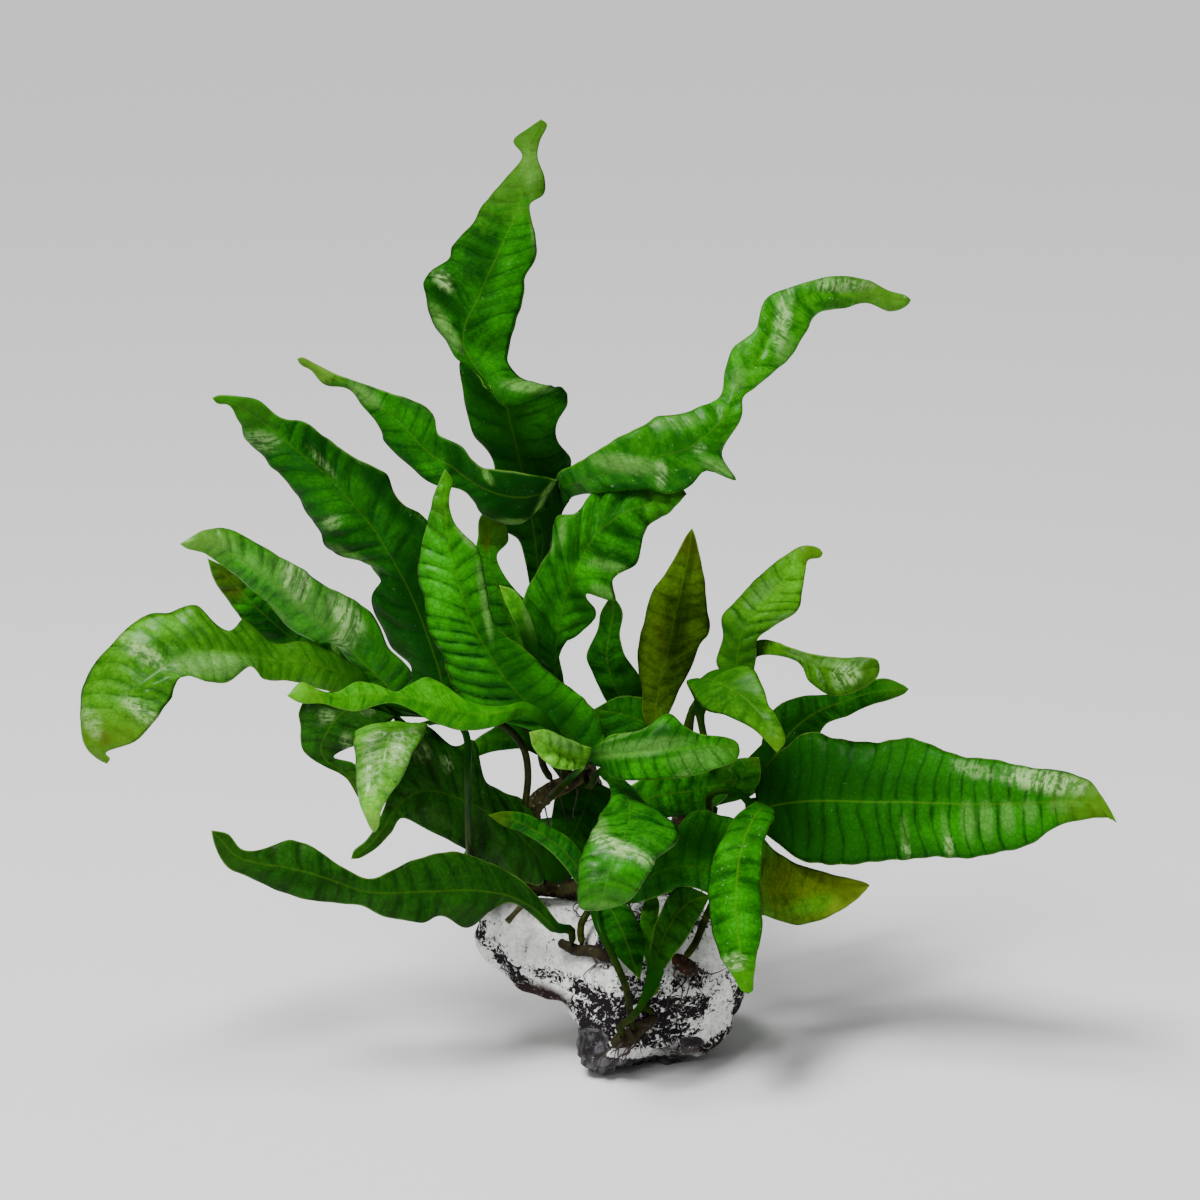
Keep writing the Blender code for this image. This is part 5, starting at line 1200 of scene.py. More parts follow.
fronds["frond_shaded_hanging"] = dict(
    rows=[
        (553, 858, 0), (566, 846, 1, 551, 836, 588, 864), (577, 826, 5, 552, 814, 606, 848),
        (586, 804, 9, 557, 790, 614, 818), (590, 787, 10, 567, 777, 617, 792),
    ],
    cup=0.1, roll=0.0, stalk=[], seat=("rhizome_rising_middle", 0.82, (0.1, 0.9, -0.4)), slot="frond_dark",
    look="deep", ribs=(5.5, 0.4), tipTint=(0.006, 0.048, 0.0009, 0.3),
)
fronds["frond_diagonal_narrow"] = dict(
    rows=[
        (488, 815, -30), (504, 818, -29, 506, 811, 502, 825), (524, 824, -27, 529, 815, 518, 831),
        (546, 837, -25, 551, 827, 540, 844), (564, 851, -23, 569, 838, 558, 859),
        (578, 869, -21, 583, 856, 572, 877), (588, 892, -21, 592, 884, 584, 896),
    ],
    cup=0.1, roll=0.1, stalk=[(598, 926, -30.5), (610, 950, -34), (626, 988, -35)],
    seat=("rhizome_foot", 0.55, (0.3, -0.4, 1.0)), look="mid", ribs=(5.0, 0.25),
    tipTint=(0.042, 0.078, 0.003, 0.7),
)
fronds["frond_pendant_dark"] = dict(
    rows=[
        (640, 980, -34), (634, 964, -33, 626, 966, 643, 964), (628, 946, -31, 612, 950, 644, 944),
        (621, 929, -28, 601, 932, 640, 926), (613, 913, -24, 595, 915, 630, 908),
        (607, 901, -19, 598, 902, 616, 898),
    ],
    cup=0.15, roll=0.0, stalk=[(603, 897, -17), (599, 925, -18)],
    seat=("rhizome_front_left", 0.93, (0.1, -0.1, 1.0)), slot="frond_dark", look="deep", baseShade=0.1,
    gloss=0.0, ribs=(4.6, 0.3), tipTint=(0.018, 0.06, 0.003, 0.4),
)
fronds["frond_front_young"] = dict(
    rows=[
        (710, 896, -32), (697, 898, -33, 690, 887, 702, 912), (684, 906, -34, 675, 889, 694, 925),
        (672, 921, -36, 663, 904, 687, 939), (662, 940, -38, 654, 930, 675, 954),
        (655, 962, -40, 649, 959, 664, 969),
    ],
    cup=-0.25, roll=0.1, stalk=[(650, 985, -41), (637, 1012, -40)],
    seat=("rhizome_foot", 0.35, (0.1, -0.7, 1.0)), slot="frond_lime", look="dark", gloss=0.0, baseShade=0.1,
    ribs=(5.0, 0.15), tipTint=(0.012, 0.06, 0.003, 0.5),
)
fronds["frond_front_upright"] = dict(
    rows=[
        (652, 888, -12), (650, 906, -17, 643, 906, 659, 903), (649, 926, -22, 640, 927, 657, 924),
        (649, 948, -26, 642, 948, 656, 947), (652, 968, -29, 648, 968, 656, 968),
    ],
    cup=-0.2, roll=0.0, stalk=[(656, 990, -31)], seat=("rhizome_foot", 0.97, (0.0, -0.2, 1.0)),
    slot="frond_dark", look="lime", baseShade=0.1, stalkTone=(0.030, 0.085, 0.008), gloss=0.0,
    ribs=(4.6, 0.15), tipTint=(0.012, 0.06, 0.003, 0.4),
)
fronds["frond_olive_behind"] = dict(
    rows=[
        (490, 505, 16), (489, 520, 16, 479, 519, 504, 520), (489, 537, 15.5, 478, 537, 508, 541),
        (489, 554, 15, 476, 553, 497, 557), (495, 578, 14, 478, 580, 509, 582),
        (506, 608, 13, 482, 612, 528, 604), (520, 640, 13, 498, 648, 542, 632),
        (540, 675, 13, 522, 686, 554, 666), (560, 710, 14, 550, 718, 568, 702),
    ],
    cup=0.1, roll=0.1, stalk=[], seat=("rhizome_rising_back", 0.78, (-0.5, -1.0, 0.1)), slot="frond_olive",
    look="mid", ribs=(5.0, 0.35), tipTint=(0.036, 0.06, 0.003, 0.6),
    marks=dict(
        rust=[(486, 540, 14, 6, 90, 0.8)],
    ),
)
fronds["frond_middle_young"] = dict(
    rows=[
        (499, 585, -13), (509, 596, -13, 514, 590, 504, 600), (519, 612, -12, 526, 607, 511, 616),
        (528, 632, -8, 535, 630, 520, 634),
    ],
    cup=-0.2, roll=0.0, stalk=[(538, 668, -7), (554, 706, -4), (568, 738, 3)],
    seat=("rhizome_rising_middle", 0.9, (-0.4, 0.9, 0.4)), slot="frond_lime", look="lime", ribs=(4.6, 0.15),
    tipTint=(0.096, 0.24, 0.009, 0.5),
    marks=dict(
        pale=[(528, 620, 16, 4, 75, 1.0)],
    ),
)
fronds["frond_under_lime"] = dict(
    rows=[
        (418, 772, 4), (436, 764, 4, 432, 757, 440, 772), (462, 753, 5, 460, 749, 465, 762),
        (488, 742, 6, 486, 732, 490, 753), (510, 737, 7, 508, 722, 513, 749),
        (528, 739, 8, 530, 724, 526, 750),
    ],
    cup=0.1, roll=0.2, stalk=[(542, 750, 12), (562, 775, 14)],
    seat=("rhizome_rising_back", 0.4, (-0.6, -0.8, 0.5)), slot="frond_dark", look="bright", ribs=(5.0, 0.15),
    tipTint=(0.012, 0.06, 0.003, 0.4),
    marks=dict(
        light=[(500, 735, 26, 6, 10, 0.3)],
    ),
)
fronds["frond_shaded_right"] = dict(
    rows=[
        (592, 710, 9), (612, 712, 8.5, 620, 696, 597, 724), (634, 718, 8, 644, 698, 610, 742),
        (656, 728, 7.5, 666, 712, 640, 750), (676, 746, 7.5, 684, 736, 666, 756),
    ],
    cup=0.1, roll=0.1, stalk=[(688, 758, 7)], seat=("rhizome_rising_right", 0.9, (-0.9, 0.3, 0.3)),
    slot="frond_dark", look="deep", gloss=0.1, ribs=(5.0, 0.4), tipTint=(0.012, 0.072, 0.003, 0.4),
)
fronds["frond_back_left"] = dict(
    rows=[
        (282, 438, 68), (304, 458, 66, 315, 448, 292, 467), (334, 486, 62, 348, 471, 319, 499),
        (366, 520, 56, 382, 503, 348, 534), (394, 560, 50, 416, 543, 374, 570),
        (416, 606, 44, 440, 590, 396, 611), (430, 650, 38, 448, 640, 414, 652),
        (446, 690, 33, 452, 688, 440, 692),
    ],
    cup=0.2, roll=-0.3, stalk=[(490, 712, 31), (530, 728, 30), (560, 748, 30)],
    seat=("rhizome_rising_back", 0.5, (-0.8, 0.7, 0.3)), look="deep", ribs=(5.6, 0.4),
    tipTint=(0.03, 0.144, 0.006, 0.5),
)
fronds["frond_back_right"] = dict(
    rows=[
        (870, 795, 70), (846, 789, 69, 848, 774, 846, 806), (816, 783, 66, 820, 762, 814, 804),
        (784, 778, 61, 790, 756, 780, 800), (750, 774, 54, 752, 762, 748, 786),
        (716, 772, 46, 718, 761, 713, 783), (684, 764, 38, 687, 757, 681, 771),
    ],
    cup=0.2, roll=-0.35, stalk=[(650, 764, 31)], seat=("rhizome_rising_back", 0.66, (0.8, 0.6, 0.3)),
    look="bright", ribs=(5.4, 0.4), tipTint=(0.036, 0.156, 0.006, 0.5),
)
fronds["frond_back_middle"] = dict(
    rows=[
        (686, 556, 80), (682, 580, 77, 671, 577, 694, 580), (676, 606, 72, 660, 604, 692, 606),
        (670, 632, 66, 654, 632, 688, 632), (664, 658, 60, 651, 658, 681, 656),
        (658, 680, 54, 651, 680, 667, 678), (654, 698, 50, 651, 699, 658, 698),
    ],
    cup=0.2, roll=0.1, stalk=[(640, 722, 44), (612, 742, 36)],
    seat=("rhizome_rising_back", 0.8, (0.2, 1.0, 0.2)), look="mid", ribs=(5.2, 0.4),
    tipTint=(0.036, 0.156, 0.006, 0.5),
)
fronds["frond_back_low"] = dict(
    rows=[
        (452, 872, 72), (466, 866, 68, 462, 856, 468, 878), (486, 844, 62, 480, 830, 492, 860),
        (508, 830, 54, 504, 818, 512, 844), (532, 826, 46, 530, 819, 534, 838),
        (556, 822, 38, 555, 817, 558, 829),
    ],
    cup=0.2, roll=0.2, stalk=[], seat=("rhizome_rising_back", 0.3, (-0.5, 1.0, 0.1)), look="deep",
    ribs=(5.0, 0.35), tipTint=(0.024, 0.12, 0.006, 0.5),
)

# what a frond has where it says nothing else: how far its veins lean to the tip, how long it takes to
# narrow into its stalk, the relief of its two sides, its gloss, how much light and shade are painted on its
# puffs, its painted shade towards the base and along its vein valleys, how much its midrib and its specks
# show, and the stalk's colour where it meets the blade
usual = {
    "slot": "frond_green", "slant": 0.35, "wings": 14.0, "sides": (1.0, 1.0),
    "gloss": 0.2, "contrast": 0.22, "baseShade": 0.55, "valleyShade": 0.3, "midrib": 0.16, "specks": 0.06,
    "stalkTone": (0.0025, 0.034, 0.0003), "marks": {}, "folds": [],
}

# the dark and the light colour of each kind of green; the darker kinds partly stand in, as painted shade,
# for the shade that the inner fronds lie in
leafLooks = {
    "mid": {"dark": (0.0006, 0.040, 0.0001), "light": (0.018, 0.205, 0.0030)},
    "deep": {"dark": (0.0008, 0.027, 0.0002), "light": (0.009, 0.125, 0.0020)},
    "bright": {"dark": (0.0012, 0.070, 0.0001), "light": (0.037, 0.275, 0.0050)},
    "dark": {"dark": (0.0020, 0.020, 0.0006), "light": (0.013, 0.090, 0.0035)},
    "fresh": {"dark": (0.0060, 0.070, 0.0002), "light": (0.060, 0.252, 0.0060)},
    "lime": {"dark": (0.0060, 0.115, 0.0002), "light": (0.057, 0.325, 0.0050)},
    "pale": {"dark": (0.0080, 0.115, 0.0010), "light": (0.110, 0.360, 0.0200)},
    "olive": {"dark": (0.0060, 0.022, 0.0002), "light": (0.048, 0.115, 0.0006)},
    "oliveGreen": {"dark": (0.0030, 0.032, 0.0002), "light": (0.034, 0.150, 0.0006)},
}

# the shape of every blade, in millimetres
blade = {
    # rings lie a step apart, and columns crowd at the midrib
    "columns": 22, "crowding": 1.2, "step": 0.75, "stalkStep": 2.0, "fewest": 6, "dense": 60, "probe": 0.02,
    # how thick it is, how its edge thins, and how its midrib stands out in front and behind
    "lamina": 0.42, "edgePower": 5, "midribFront": 0.14, "midribBack": 0.55, "midribWidth": 0.7,
    "midribFull": 18.0,
    "stalkRadius": 1.0, "stalkLeaves": 5.0, "sunk": 1.3, "seatRoom": 1.06, "seatProbe": 0.05,
    # over what length the stalk's colour begins, and how far from a rim the stalk counts as
    "stemFade": 6.0, "stalkRim": 6.0,
    # a wave starts anywhere up to "phase", and has a finer one on it: how high and how much quicker
    "phase": 6.3, "finer": (0.5, 2.7),
    # the side veins: how they wander as step and amount, how they curve, and how far the sides differ
    "veinSway": (9.0, 0.33), "veinBend": 0.13, "bendAcross": 2.9, "bendAlong": 17.0, "veinShift": 0.45,
    # the puffs between them, and where on the half blade they start and flatten again; a half that is
    # narrower than "full" has less of everything
    "relief": 1.9, "cell": 6.0, "cellShare": 0.28, "veinPower": 0.55, "cellPower": 0.6,
    "puffFrom": (0.02, 0.26), "puffTo": (0.82, 1.0), "flatter": 0.55, "uneven": (11.0, 0.5), "full": 5.0,
    "arch": 0.05, "wave": 0.5, "waveStep": 4.2, "wavePower": 2.5, "frill": 0.018, "frillStep": 2.6,
    # slow swells over it: how high, and the lengths along and across of two that cross
    "sway": 0.22, "swayFrom": (0.0, 0.5), "swells": ((6.1, 4.3), (4.4, 3.6)),
    # how near the midrib the normals of the two sides are mixed, and how far the tip reaches
    "normalMix": 0.35, "tip": (0.0, 0.3),
}


def edgeDepth(row, edge, slope, extra):
    width = math.hypot(edge[0] - row[0], edge[1] - row[1]) * view["pixel"]
    return row[2] + slope * width + extra


def bladeRails(frond):
    # the midrib and the two edges as real points, from the tip to the base
    middle, edgeA, edgeB = [], [], []
    for row in frond["rows"]:
        ax, ay, bx, by = row[3:7] or row[:2] * 2
        extraA, extraB = row[7:] if len(row) > 7 else (0.0, 0.0)
        middle.append(picturePoint(*row[:3]))
        depthA = edgeDepth(row, (ax, ay), frond["cup"] + frond["roll"], extraA)
        depthB = edgeDepth(row, (bx, by), frond["cup"] - frond["roll"], extraB)
        edgeA.append(picturePoint(ax, ay, depthA))
        edgeB.append(picturePoint(bx, by, depthB))
    return np.array(middle), np.array(edgeA), np.array(edgeB)


def stalkSeat(route, fraction, aim):
    # where a stalk meets its rhizome, and the way it leaves, square to the rhizome
    points, radii = route
    last = len(points) - 1.0
    t = fraction * last
    near = blade["seatProbe"]
    place, ahead, behind = along(points, np.array([t, min(t + near, last), max(t - near, 0.0)]))
    run = unit(ahead - behind)
    out = np.array(aim, float)
    out = unit(out - run * out.dot(run))
    radius = along(radii, np.array([t]))[0] * blade["seatRoom"]
    return place + out * (radius + rhizome["gap"]), out


def frondStations(centres, base, end):
    # the curve's t at even steps of length, closer on the blade than on the stalk
    dense = np.linspace(0.0, end, int(blade["dense"] * end))
    length = lengthAlong(along(centres, dense))
    baseLength = np.interp(base, dense, length)
    count = max(blade["fewest"], int(baseLength / blade["step"]))
    onBlade = np.linspace(0.0, baseLength, count)
    count = max(blade["fewest"], int((length[-1] - baseLength) / blade["stalkStep"]))
    onStalk = np.linspace(baseLength, length[-1], count)[1:]
    s = np.concatenate([onBlade, onStalk])
    return np.interp(s, length, dense), s, baseLength


def frondRings(name, frond):
    chance = random.Random(name)
    middle, edgeA, edgeB = bladeRails(frond)
    branch, fraction, aim = frond["seat"]
    seat, out = stalkSeat(routes[branch], fraction, aim)
    stalk = [picturePoint(*point) for point in frond["stalk"]]
    centres = np.array([*middle, *stalk, seat + out * blade["stalkLeaves"], seat - out * blade["sunk"]])
    base = len(middle) - 1.0
    end = len(centres) - 1.0
    t, s, baseLength = frondStations(centres, base, end)
    centre = along(centres, t)
    ahead, behind = np.minimum(t + blade["probe"], end), np.maximum(t - blade["probe"], 0.0)
    run = unit(along(centres, ahead) - along(centres, behind))
    onBlade = np.minimum(t, base)
    halfA = along(edgeA, onBlade) - along(middle, onBlade)
    halfB = along(edgeB, onBlade) - along(middle, onBlade)

    # past the blade the side is carried along the stalk, and the halves shrink to its radius
    stem = smoothStep(0.0, 1.0, (s - baseLength) / frond["wings"])
    side = unit(halfB - halfA)
    past = t > base
    for j in np.flatnonzero(past):
        side[j] = side[j - 1] - run[j] * side[j - 1].dot(run[j])
        side[j] = side[j] / np.linalg.norm(side[j])
    lengthA = np.linalg.norm(halfA, axis=1)
    lengthB = np.linalg.norm(halfB, axis=1)
    halfA[past] = -side[past] * lengthA[past, None]
    halfB[past] = side[past] * lengthB[past, None]
    radius = blade["stalkRadius"]
    halfA = halfA * (1.0 - stem[:, None]) - side * stem[:, None] * radius
    halfB = halfB * (1.0 - stem[:, None]) + side * stem[:, None] * radius

    def phase():
        return chance.uniform(0.0, blade["phase"])

    def wobble(step):
        low, high = phase(), phase()
        height, quicker = blade["finer"]
        return np.sin(s / step + low) + height * np.sin(s / step * quicker + high)

    # a little frill along both edges
    frill = blade["frill"] * (1.0 - stem)
    halfA = halfA * (1.0 + frill * wobble(blade["frillStep"]))[:, None]
    halfB = halfB * (1.0 + frill * wobble(blade["frillStep"]))[:, None]

    normalA = -unit(np.cross(run, halfA))
    normalB = unit(np.cross(run, halfB))
    opposed = (normalA * normalB).sum(axis=1) < 0.0
    normalA[opposed] = normalB[opposed]
    wideness = (lengthA + lengthB)[:, None]
    facing = ((normalA + normalB) * wideness)[~past].sum(axis=0).dot(-viewForward)
    front = 1.0 if facing >= 0.0 else -1.0

    # the columns go from edge A over the front to edge B and back behind
    columns = blade["columns"]
    q = np.arange(2 * columns + 1)
    inFront = q <= columns
    x = np.where(inFront, -1.0 + 2.0 * q / columns, 3.0 - 2.0 * q / columns)
    u = (np.sign(x) * np.abs(x) ** blade["crowding"])[None, :]
    face = np.where(inFront, 1.0, -1.0)[None, :]
    angle = (np.pi * q / columns)[None, :]

    left = u < 0.0
    absU = np.abs(u)
    half = np.where(left, np.linalg.norm(halfA, axis=1)[:, None], np.linalg.norm(halfB, axis=1)[:, None])
    across = u * half
    fromMid = np.abs(across)
    k = stem[:, None]
    lamina = blade["lamina"] * 0.5 * np.sqrt(np.clip(1.0 - absU ** blade["edgePower"], 0.0, 1.0))
    ridge = np.exp(-(fromMid / blade["midribWidth"]) ** 2) * smoothStep(0.0, blade["midribFull"], s)[:, None]
    ridge = np.where(face > 0.0, blade["midribFront"], blade["midribBack"]) * ridge
    up = face * (lamina + ridge * (1.0 - absU)) * (1.0 - k) + np.sin(angle) * radius * k

    def sided(step):
        # a wobble of its own for each side of the midrib
        return np.where(left, wobble(step)[:, None], wobble(step)[:, None])

    # how the blade's skin lies off its straight halves: arched, quilted between the veins, wavy at its edges
    spacing, rise = frond["ribs"]
    step, amount = blade["veinSway"]
    shift = sided(step) * amount
    bend = np.sin(fromMid / blade["bendAcross"] + s[:, None] / blade["bendAlong"] + phase())
    vein = (s[:, None] + frond["slant"] * fromMid) / spacing + shift + blade["veinBend"] * bend
    vein = vein + np.where(left, 0.0, blade["veinShift"])
    swell = np.abs(np.sin(np.pi * vein)) ** blade["veinPower"]
    cell = np.abs(np.sin(np.pi * (fromMid / blade["cell"] + 0.5 * (np.floor(vein) % 2))))
    puff = swell * (1.0 - blade["cellShare"] + blade["cellShare"] * cell ** blade["cellPower"])
    step, amount = blade["uneven"]
    rise = rise * np.where(left, *frond["sides"]) * (sided(step) * amount + 1.0)
    flatter = blade["flatter"] * smoothStep(*blade["puffTo"], absU)
    puffy = smoothStep(*blade["puffFrom"], absU) * (1.0 - flatter)
    lift = blade["arch"] * half * 4.0 * absU * (1.0 - absU) + rise * blade["relief"] * (puff - 0.5) * puffy
    lift = lift + blade["wave"] * absU ** blade["wavePower"] * sided(blade["waveStep"])
    (slowAlong, slowAcross), (quickAlong, quickAcross) = blade["swells"]
    turnIn = phase()
    swayed = np.sin(s[:, None] / slowAlong + across / slowAcross + turnIn)
    swayed = swayed + np.sin(s[:, None] / quickAlong - across / quickAcross + 2 * turnIn)
    lift = lift + blade["sway"] * swayed * smoothStep(*blade["swayFrom"], absU)
    lift = lift * np.clip(half / blade["full"], 0.0, 1.0)

    mixSide = smoothStep(-blade["normalMix"], blade["normalMix"], u)[..., None]
    normal = unit(normalA[:, None] * (1.0 - mixSide) + normalB[:, None] * mixSide) * front
    reach = (u * (1.0 - k) - np.cos(angle) * k)[..., None]
    flat = centre[:, None] + np.where(reach < 0.0, -reach * halfA[:, None], reach * halfB[:, None])
    lift = (lift + foldField(flat, frond["folds"])) * (1.0 - k)
    places = flat + normal * (lift + up)[..., None]
    places[0] = centre[0]
    places[-1] = centre[-1]
    ones = np.ones_like(across)
    toBase = s / max(baseLength, 1.0)
    downStalk = np.clip(s - baseLength, 0.0, None) / (s[-1] - baseLength)
    onEdge = np.abs(x)[None, :] > 0.999
    fields = {
        "across": across * (1.0 - k),
        "alongIt": s[:, None] * ones,
        "rimGap": (1.0 - absU) * half + blade["stalkRim"] * k,
        "vein": vein,
        "puff": puff,
        "under": np.where(face > 0.0, 0.0, 1.0) * np.where(onEdge, 0.5, 1.0) * ones,
        "toBase": toBase[:, None] * ones,
        "downStalk": downStalk[:, None] * ones,
        "tipness": (1.0 - smoothStep(*blade["tip"], toBase))[:, None] * ones,
        "stem": smoothStep(-blade["stemFade"], blade["stemFade"], s - baseLength)[:, None] * ones,
    }
    for kind in sorted(frond["marks"]):
        fields[kind] = markField(places, frond["marks"][kind])
    return places, fields


# the colours of every blade; the pairs and fours of numbers say between which values something shows
skin = {
    "broad": (17.0, 3.0, 0.55), "mottle": (3.2, 4.0, 0.65, 0.4), "fine": (1.2, 4.0, 0.6),
    "streak": (1.3, 3.0, 0.6, 0.6), "streakReach": 0.16, "speck": (1.0, 2.0, 0.5), "cell": 1.9,
    # how much each pattern counts in the tone, and the tones that are quite dark and quite light
    "shares": {"broad": 0.75, "mottle": 0.5, "streak": 0.56, "fine": 0.3}, "tones": (0.90, 1.50),
    "baseAt": (0.35, 1.0), "patchyAt": (0.6, 1.15, 0.35, 1.0),
    # where the painted shade in the vein valleys shows, and the net of small veins
    "valleyShadeAt": (0.0, 0.4), "valleyShadeFrom": (0.4, 2.0), "netAt": (0.0, 0.16, 1.0, 0.0), "net": 0.28,
    "tipAt": (0.65, 1.35), "midribAt": (0.12, 0.42), "midrib": (0.08, 0.20, 0.006),
    "underShare": 0.35, "under": (0.055, 0.180, 0.020),
    "rimAt": (0.1, 0.55, 0.45, 0.0), "rimPatches": (0.35, 0.55), "rim": (0.14, 0.30, 0.035),
    "specksAt": (0.70, 0.74), "specks": (0.45, 0.55, 0.35),
    # how much lighter the painted light and how much darker the painted shade make a marked blade
    "paintedLightScale": 1.7, "paintedShadeScale": 0.8,
    "pale": (0.10, 0.26, 0.045), "rust": (0.045, 0.040, 0.004), "olive": (0.095, 0.150, 0.0010),
    "stalkAt": (0.35, 0.7), "stalkDark": (0.007, 0.011, 0.002), "stalk": (0.024, 0.036, 0.004),
    "stalkToneAt": (0.2, 0.7),
    # the painted highlight: how much the finer noise breaks it, where it shows, and its whitish colour
    "gleamFine": 0.6, "gleamAt": (1.0, 1.22, 0.15, 1.0), "gleam": (0.26, 0.44, 0.15),
    # a surface without gloss, and what gloss adds
    "rough": 0.56, "glossRough": -0.22, "roughAt": (0.3, 0.7), "smoother": 0.05, "rougher": 0.12,
    "glossCoat": 0.22, "coatRough": 0.2, "specular": 0.05, "glossSpecular": 0.26, "stalkSpecular": 0.02,
    "sheen": (0.55, 0.95, 0.35),
    "fineBump": (0.10, 0.6), "streakBump": (0.14, 0.5), "netBump": (-0.05, 0.6),
}


def ownPlace(tree, *measures):
    # a place in the blade's own measure: values, each with the millimetres that it counts for
    step = tree.nodes.new("ShaderNodeCombineXYZ")
    for socket, (value, length) in zip(step.inputs, measures):
        feed(tree, socket, times(tree, value, length * mm))
    return step.outputs[0]


def leafMaterial(name, frond):
    look = leafLooks[frond["look"]]
    dark = look["dark"]
    mat, tree = newMaterial(name + " skin")
    place = objectPlace(tree)
    across, vein, stem = field(tree, "across"), field(tree, "vein"), field(tree, "stem")
    fromMid = calc(tree, "ABSOLUTE", across)
    onBlade = calc(tree, "SUBTRACT", 1.0, stem)
    # fine streaks that run the way the side veins run
    veinPlace = ownPlace(tree, (vein, frond["ribs"][0]), (across, skin["streakReach"]))
    patterns = {
        "broad": cloud(tree, place, *skin["broad"]),
        "mottle": cloud(tree, place, *skin["mottle"]),
        "streak": cloud(tree, veinPlace, *skin["streak"]),
        "fine": cloud(tree, place, *skin["fine"]),
    }
    mottle, streak, fine = patterns["mottle"], patterns["streak"], patterns["fine"]

    def paint(colour, amount, over):
        # another colour over the blade, with none of it on the stalk
        return mixColour(tree, times(tree, amount, onBlade), colour, over)

    # painted light on the puffed fields between the veins and painted shade in their valleys, over tone that
    # drifts at random along the blade
    tone = times(tree, field(tree, "puff"), frond["contrast"])
    for pattern, share in skin["shares"].items():
        tone = plus(tree, tone, times(tree, patterns[pattern], share))
    colour = mixColour(tree, band(tree, tone, *skin["tones"]), dark, look["light"])
    # painted shade: darker towards the base, where the blade lies inside the plant
    baseShade = band(tree, field(tree, "toBase"), *skin["baseAt"], 0.0, frond["baseShade"])
    colour = mixColour(tree, baseShade, colour, dark)
    patchy = band(tree, plus(tree, mottle, streak), *skin["patchyAt"])
    # light marks are painted light and shade marks painted shade; pale marks are partly the paler colour of
    # the underside and partly painted highlight between the veins; olive and rust marks are the leaf's own
    # colour
    markColours = {
        "olive": skin["olive"], "light": tuple(part * skin["paintedLightScale"] for part in look["light"]),
        "shade": tuple(part * skin["paintedShadeScale"] for part in dark), "pale": skin["pale"], "rust": skin["rust"],
    }
    for kind, over in markColours.items():
        if kind in frond["marks"]:
            colour = mixColour(tree, times(tree, field(tree, kind), patchy), colour, over)
    # painted shade in the valleys along the side veins, and the net of small veins
    ripple = calc(tree, "ABSOLUTE", calc(tree, "SINE", times(tree, vein, math.pi)))
    valleyShade = band(tree, ripple, *skin["valleyShadeAt"], frond["valleyShade"], 0.0)
    colour = paint(colour, times(tree, valleyShade, band(tree, fromMid, *skin["valleyShadeFrom"])), dark)
    netPlace = ownPlace(tree, (across, 1.0), (field(tree, "alongIt"), 1.0))
    net = band(tree, cells(tree, netPlace, skin["cell"]), *skin["netAt"])
    net = times(tree, net, onBlade)
    colour = mixColour(tree, times(tree, net, skin["net"]), colour, dark)
    # tip, midrib, the duller underside, rim and specks
    *tipColour, tipAmount = frond["tipTint"]
    tip = band(tree, plus(tree, field(tree, "tipness"), mottle), *skin["tipAt"], 0.0, tipAmount)
    colour = mixColour(tree, tip, colour, tuple(tipColour))
    colour = paint(colour, band(tree, fromMid, *skin["midribAt"], frond["midrib"], 0.0), skin["midrib"])
    colour = paint(colour, times(tree, field(tree, "under"), skin["underShare"]), skin["under"])
    rim = band(tree, field(tree, "rimGap"), *skin["rimAt"])
    rim = times(tree, rim, band(tree, patterns["broad"], *skin["rimPatches"]))
    colour = paint(colour, rim, skin["rim"])
    specks = band(tree, cloud(tree, place, *skin["speck"]), *skin["specksAt"], 0.0, frond["specks"])
    colour = paint(colour, specks, skin["specks"])
    # the stalk
    stalk = mixColour(tree, band(tree, mottle, *skin["stalkAt"]), skin["stalkDark"], skin["stalk"])
    downStalk = band(tree, field(tree, "downStalk"), *skin["stalkToneAt"])
    colour = mixColour(tree, stem, colour, mixColour(tree, downStalk, frond["stalkTone"], stalk))
    if "gleam" in frond["marks"]:
        # painted highlight: a whitish sheen painted into the colour where the blade catches the light,
        # broken up along the veins
        broken = plus(tree, times(tree, plus(tree, mottle, fine), skin["gleamFine"]), streak)
        highlightMask = times(tree, field(tree, "gleam"), band(tree, broken, *skin["gleamAt"]))
        colour = paint(colour, highlightMask, skin["gleam"])
    gloss = frond["gloss"]
    rough = skin["rough"] + skin["glossRough"] * gloss
    specular = skin["specular"] + skin["glossSpecular"] * gloss
    grain = bump(tree, streak, *skin["streakBump"], bump(tree, fine, *skin["fineBump"]))
    setShader(tree, {
        "Base Color": colour,
        "Roughness": band(tree, mottle, *skin["roughAt"], rough - skin["smoother"], rough + skin["rougher"]),
        "Coat Weight": skin["glossCoat"] * gloss,
        "Coat Roughness": skin["coatRough"],
        "Specular IOR Level": band(tree, stem, 0.0, 1.0, specular, skin["stalkSpecular"]),
        "Specular Tint": (*skin["sheen"], 1.0),
        "Normal": bump(tree, net, *skin["netBump"], grain),
    })
    return mat


def makeFrond(name, frond):
    places, fields = frondRings(name, frond)
    mesh = wrappedMesh(name + "_leaf", places, fields)
    mesh.materials.append(leafMaterial(name, frond))
    finishPiece(name + "_leaf", mesh, [name])


for name, frond in fronds.items():
    makeFrond(name, {**usual, **frond})
print("fronds made:", len(fronds))


# Roots: thin dark wires that creep from the rhizomes over the stone

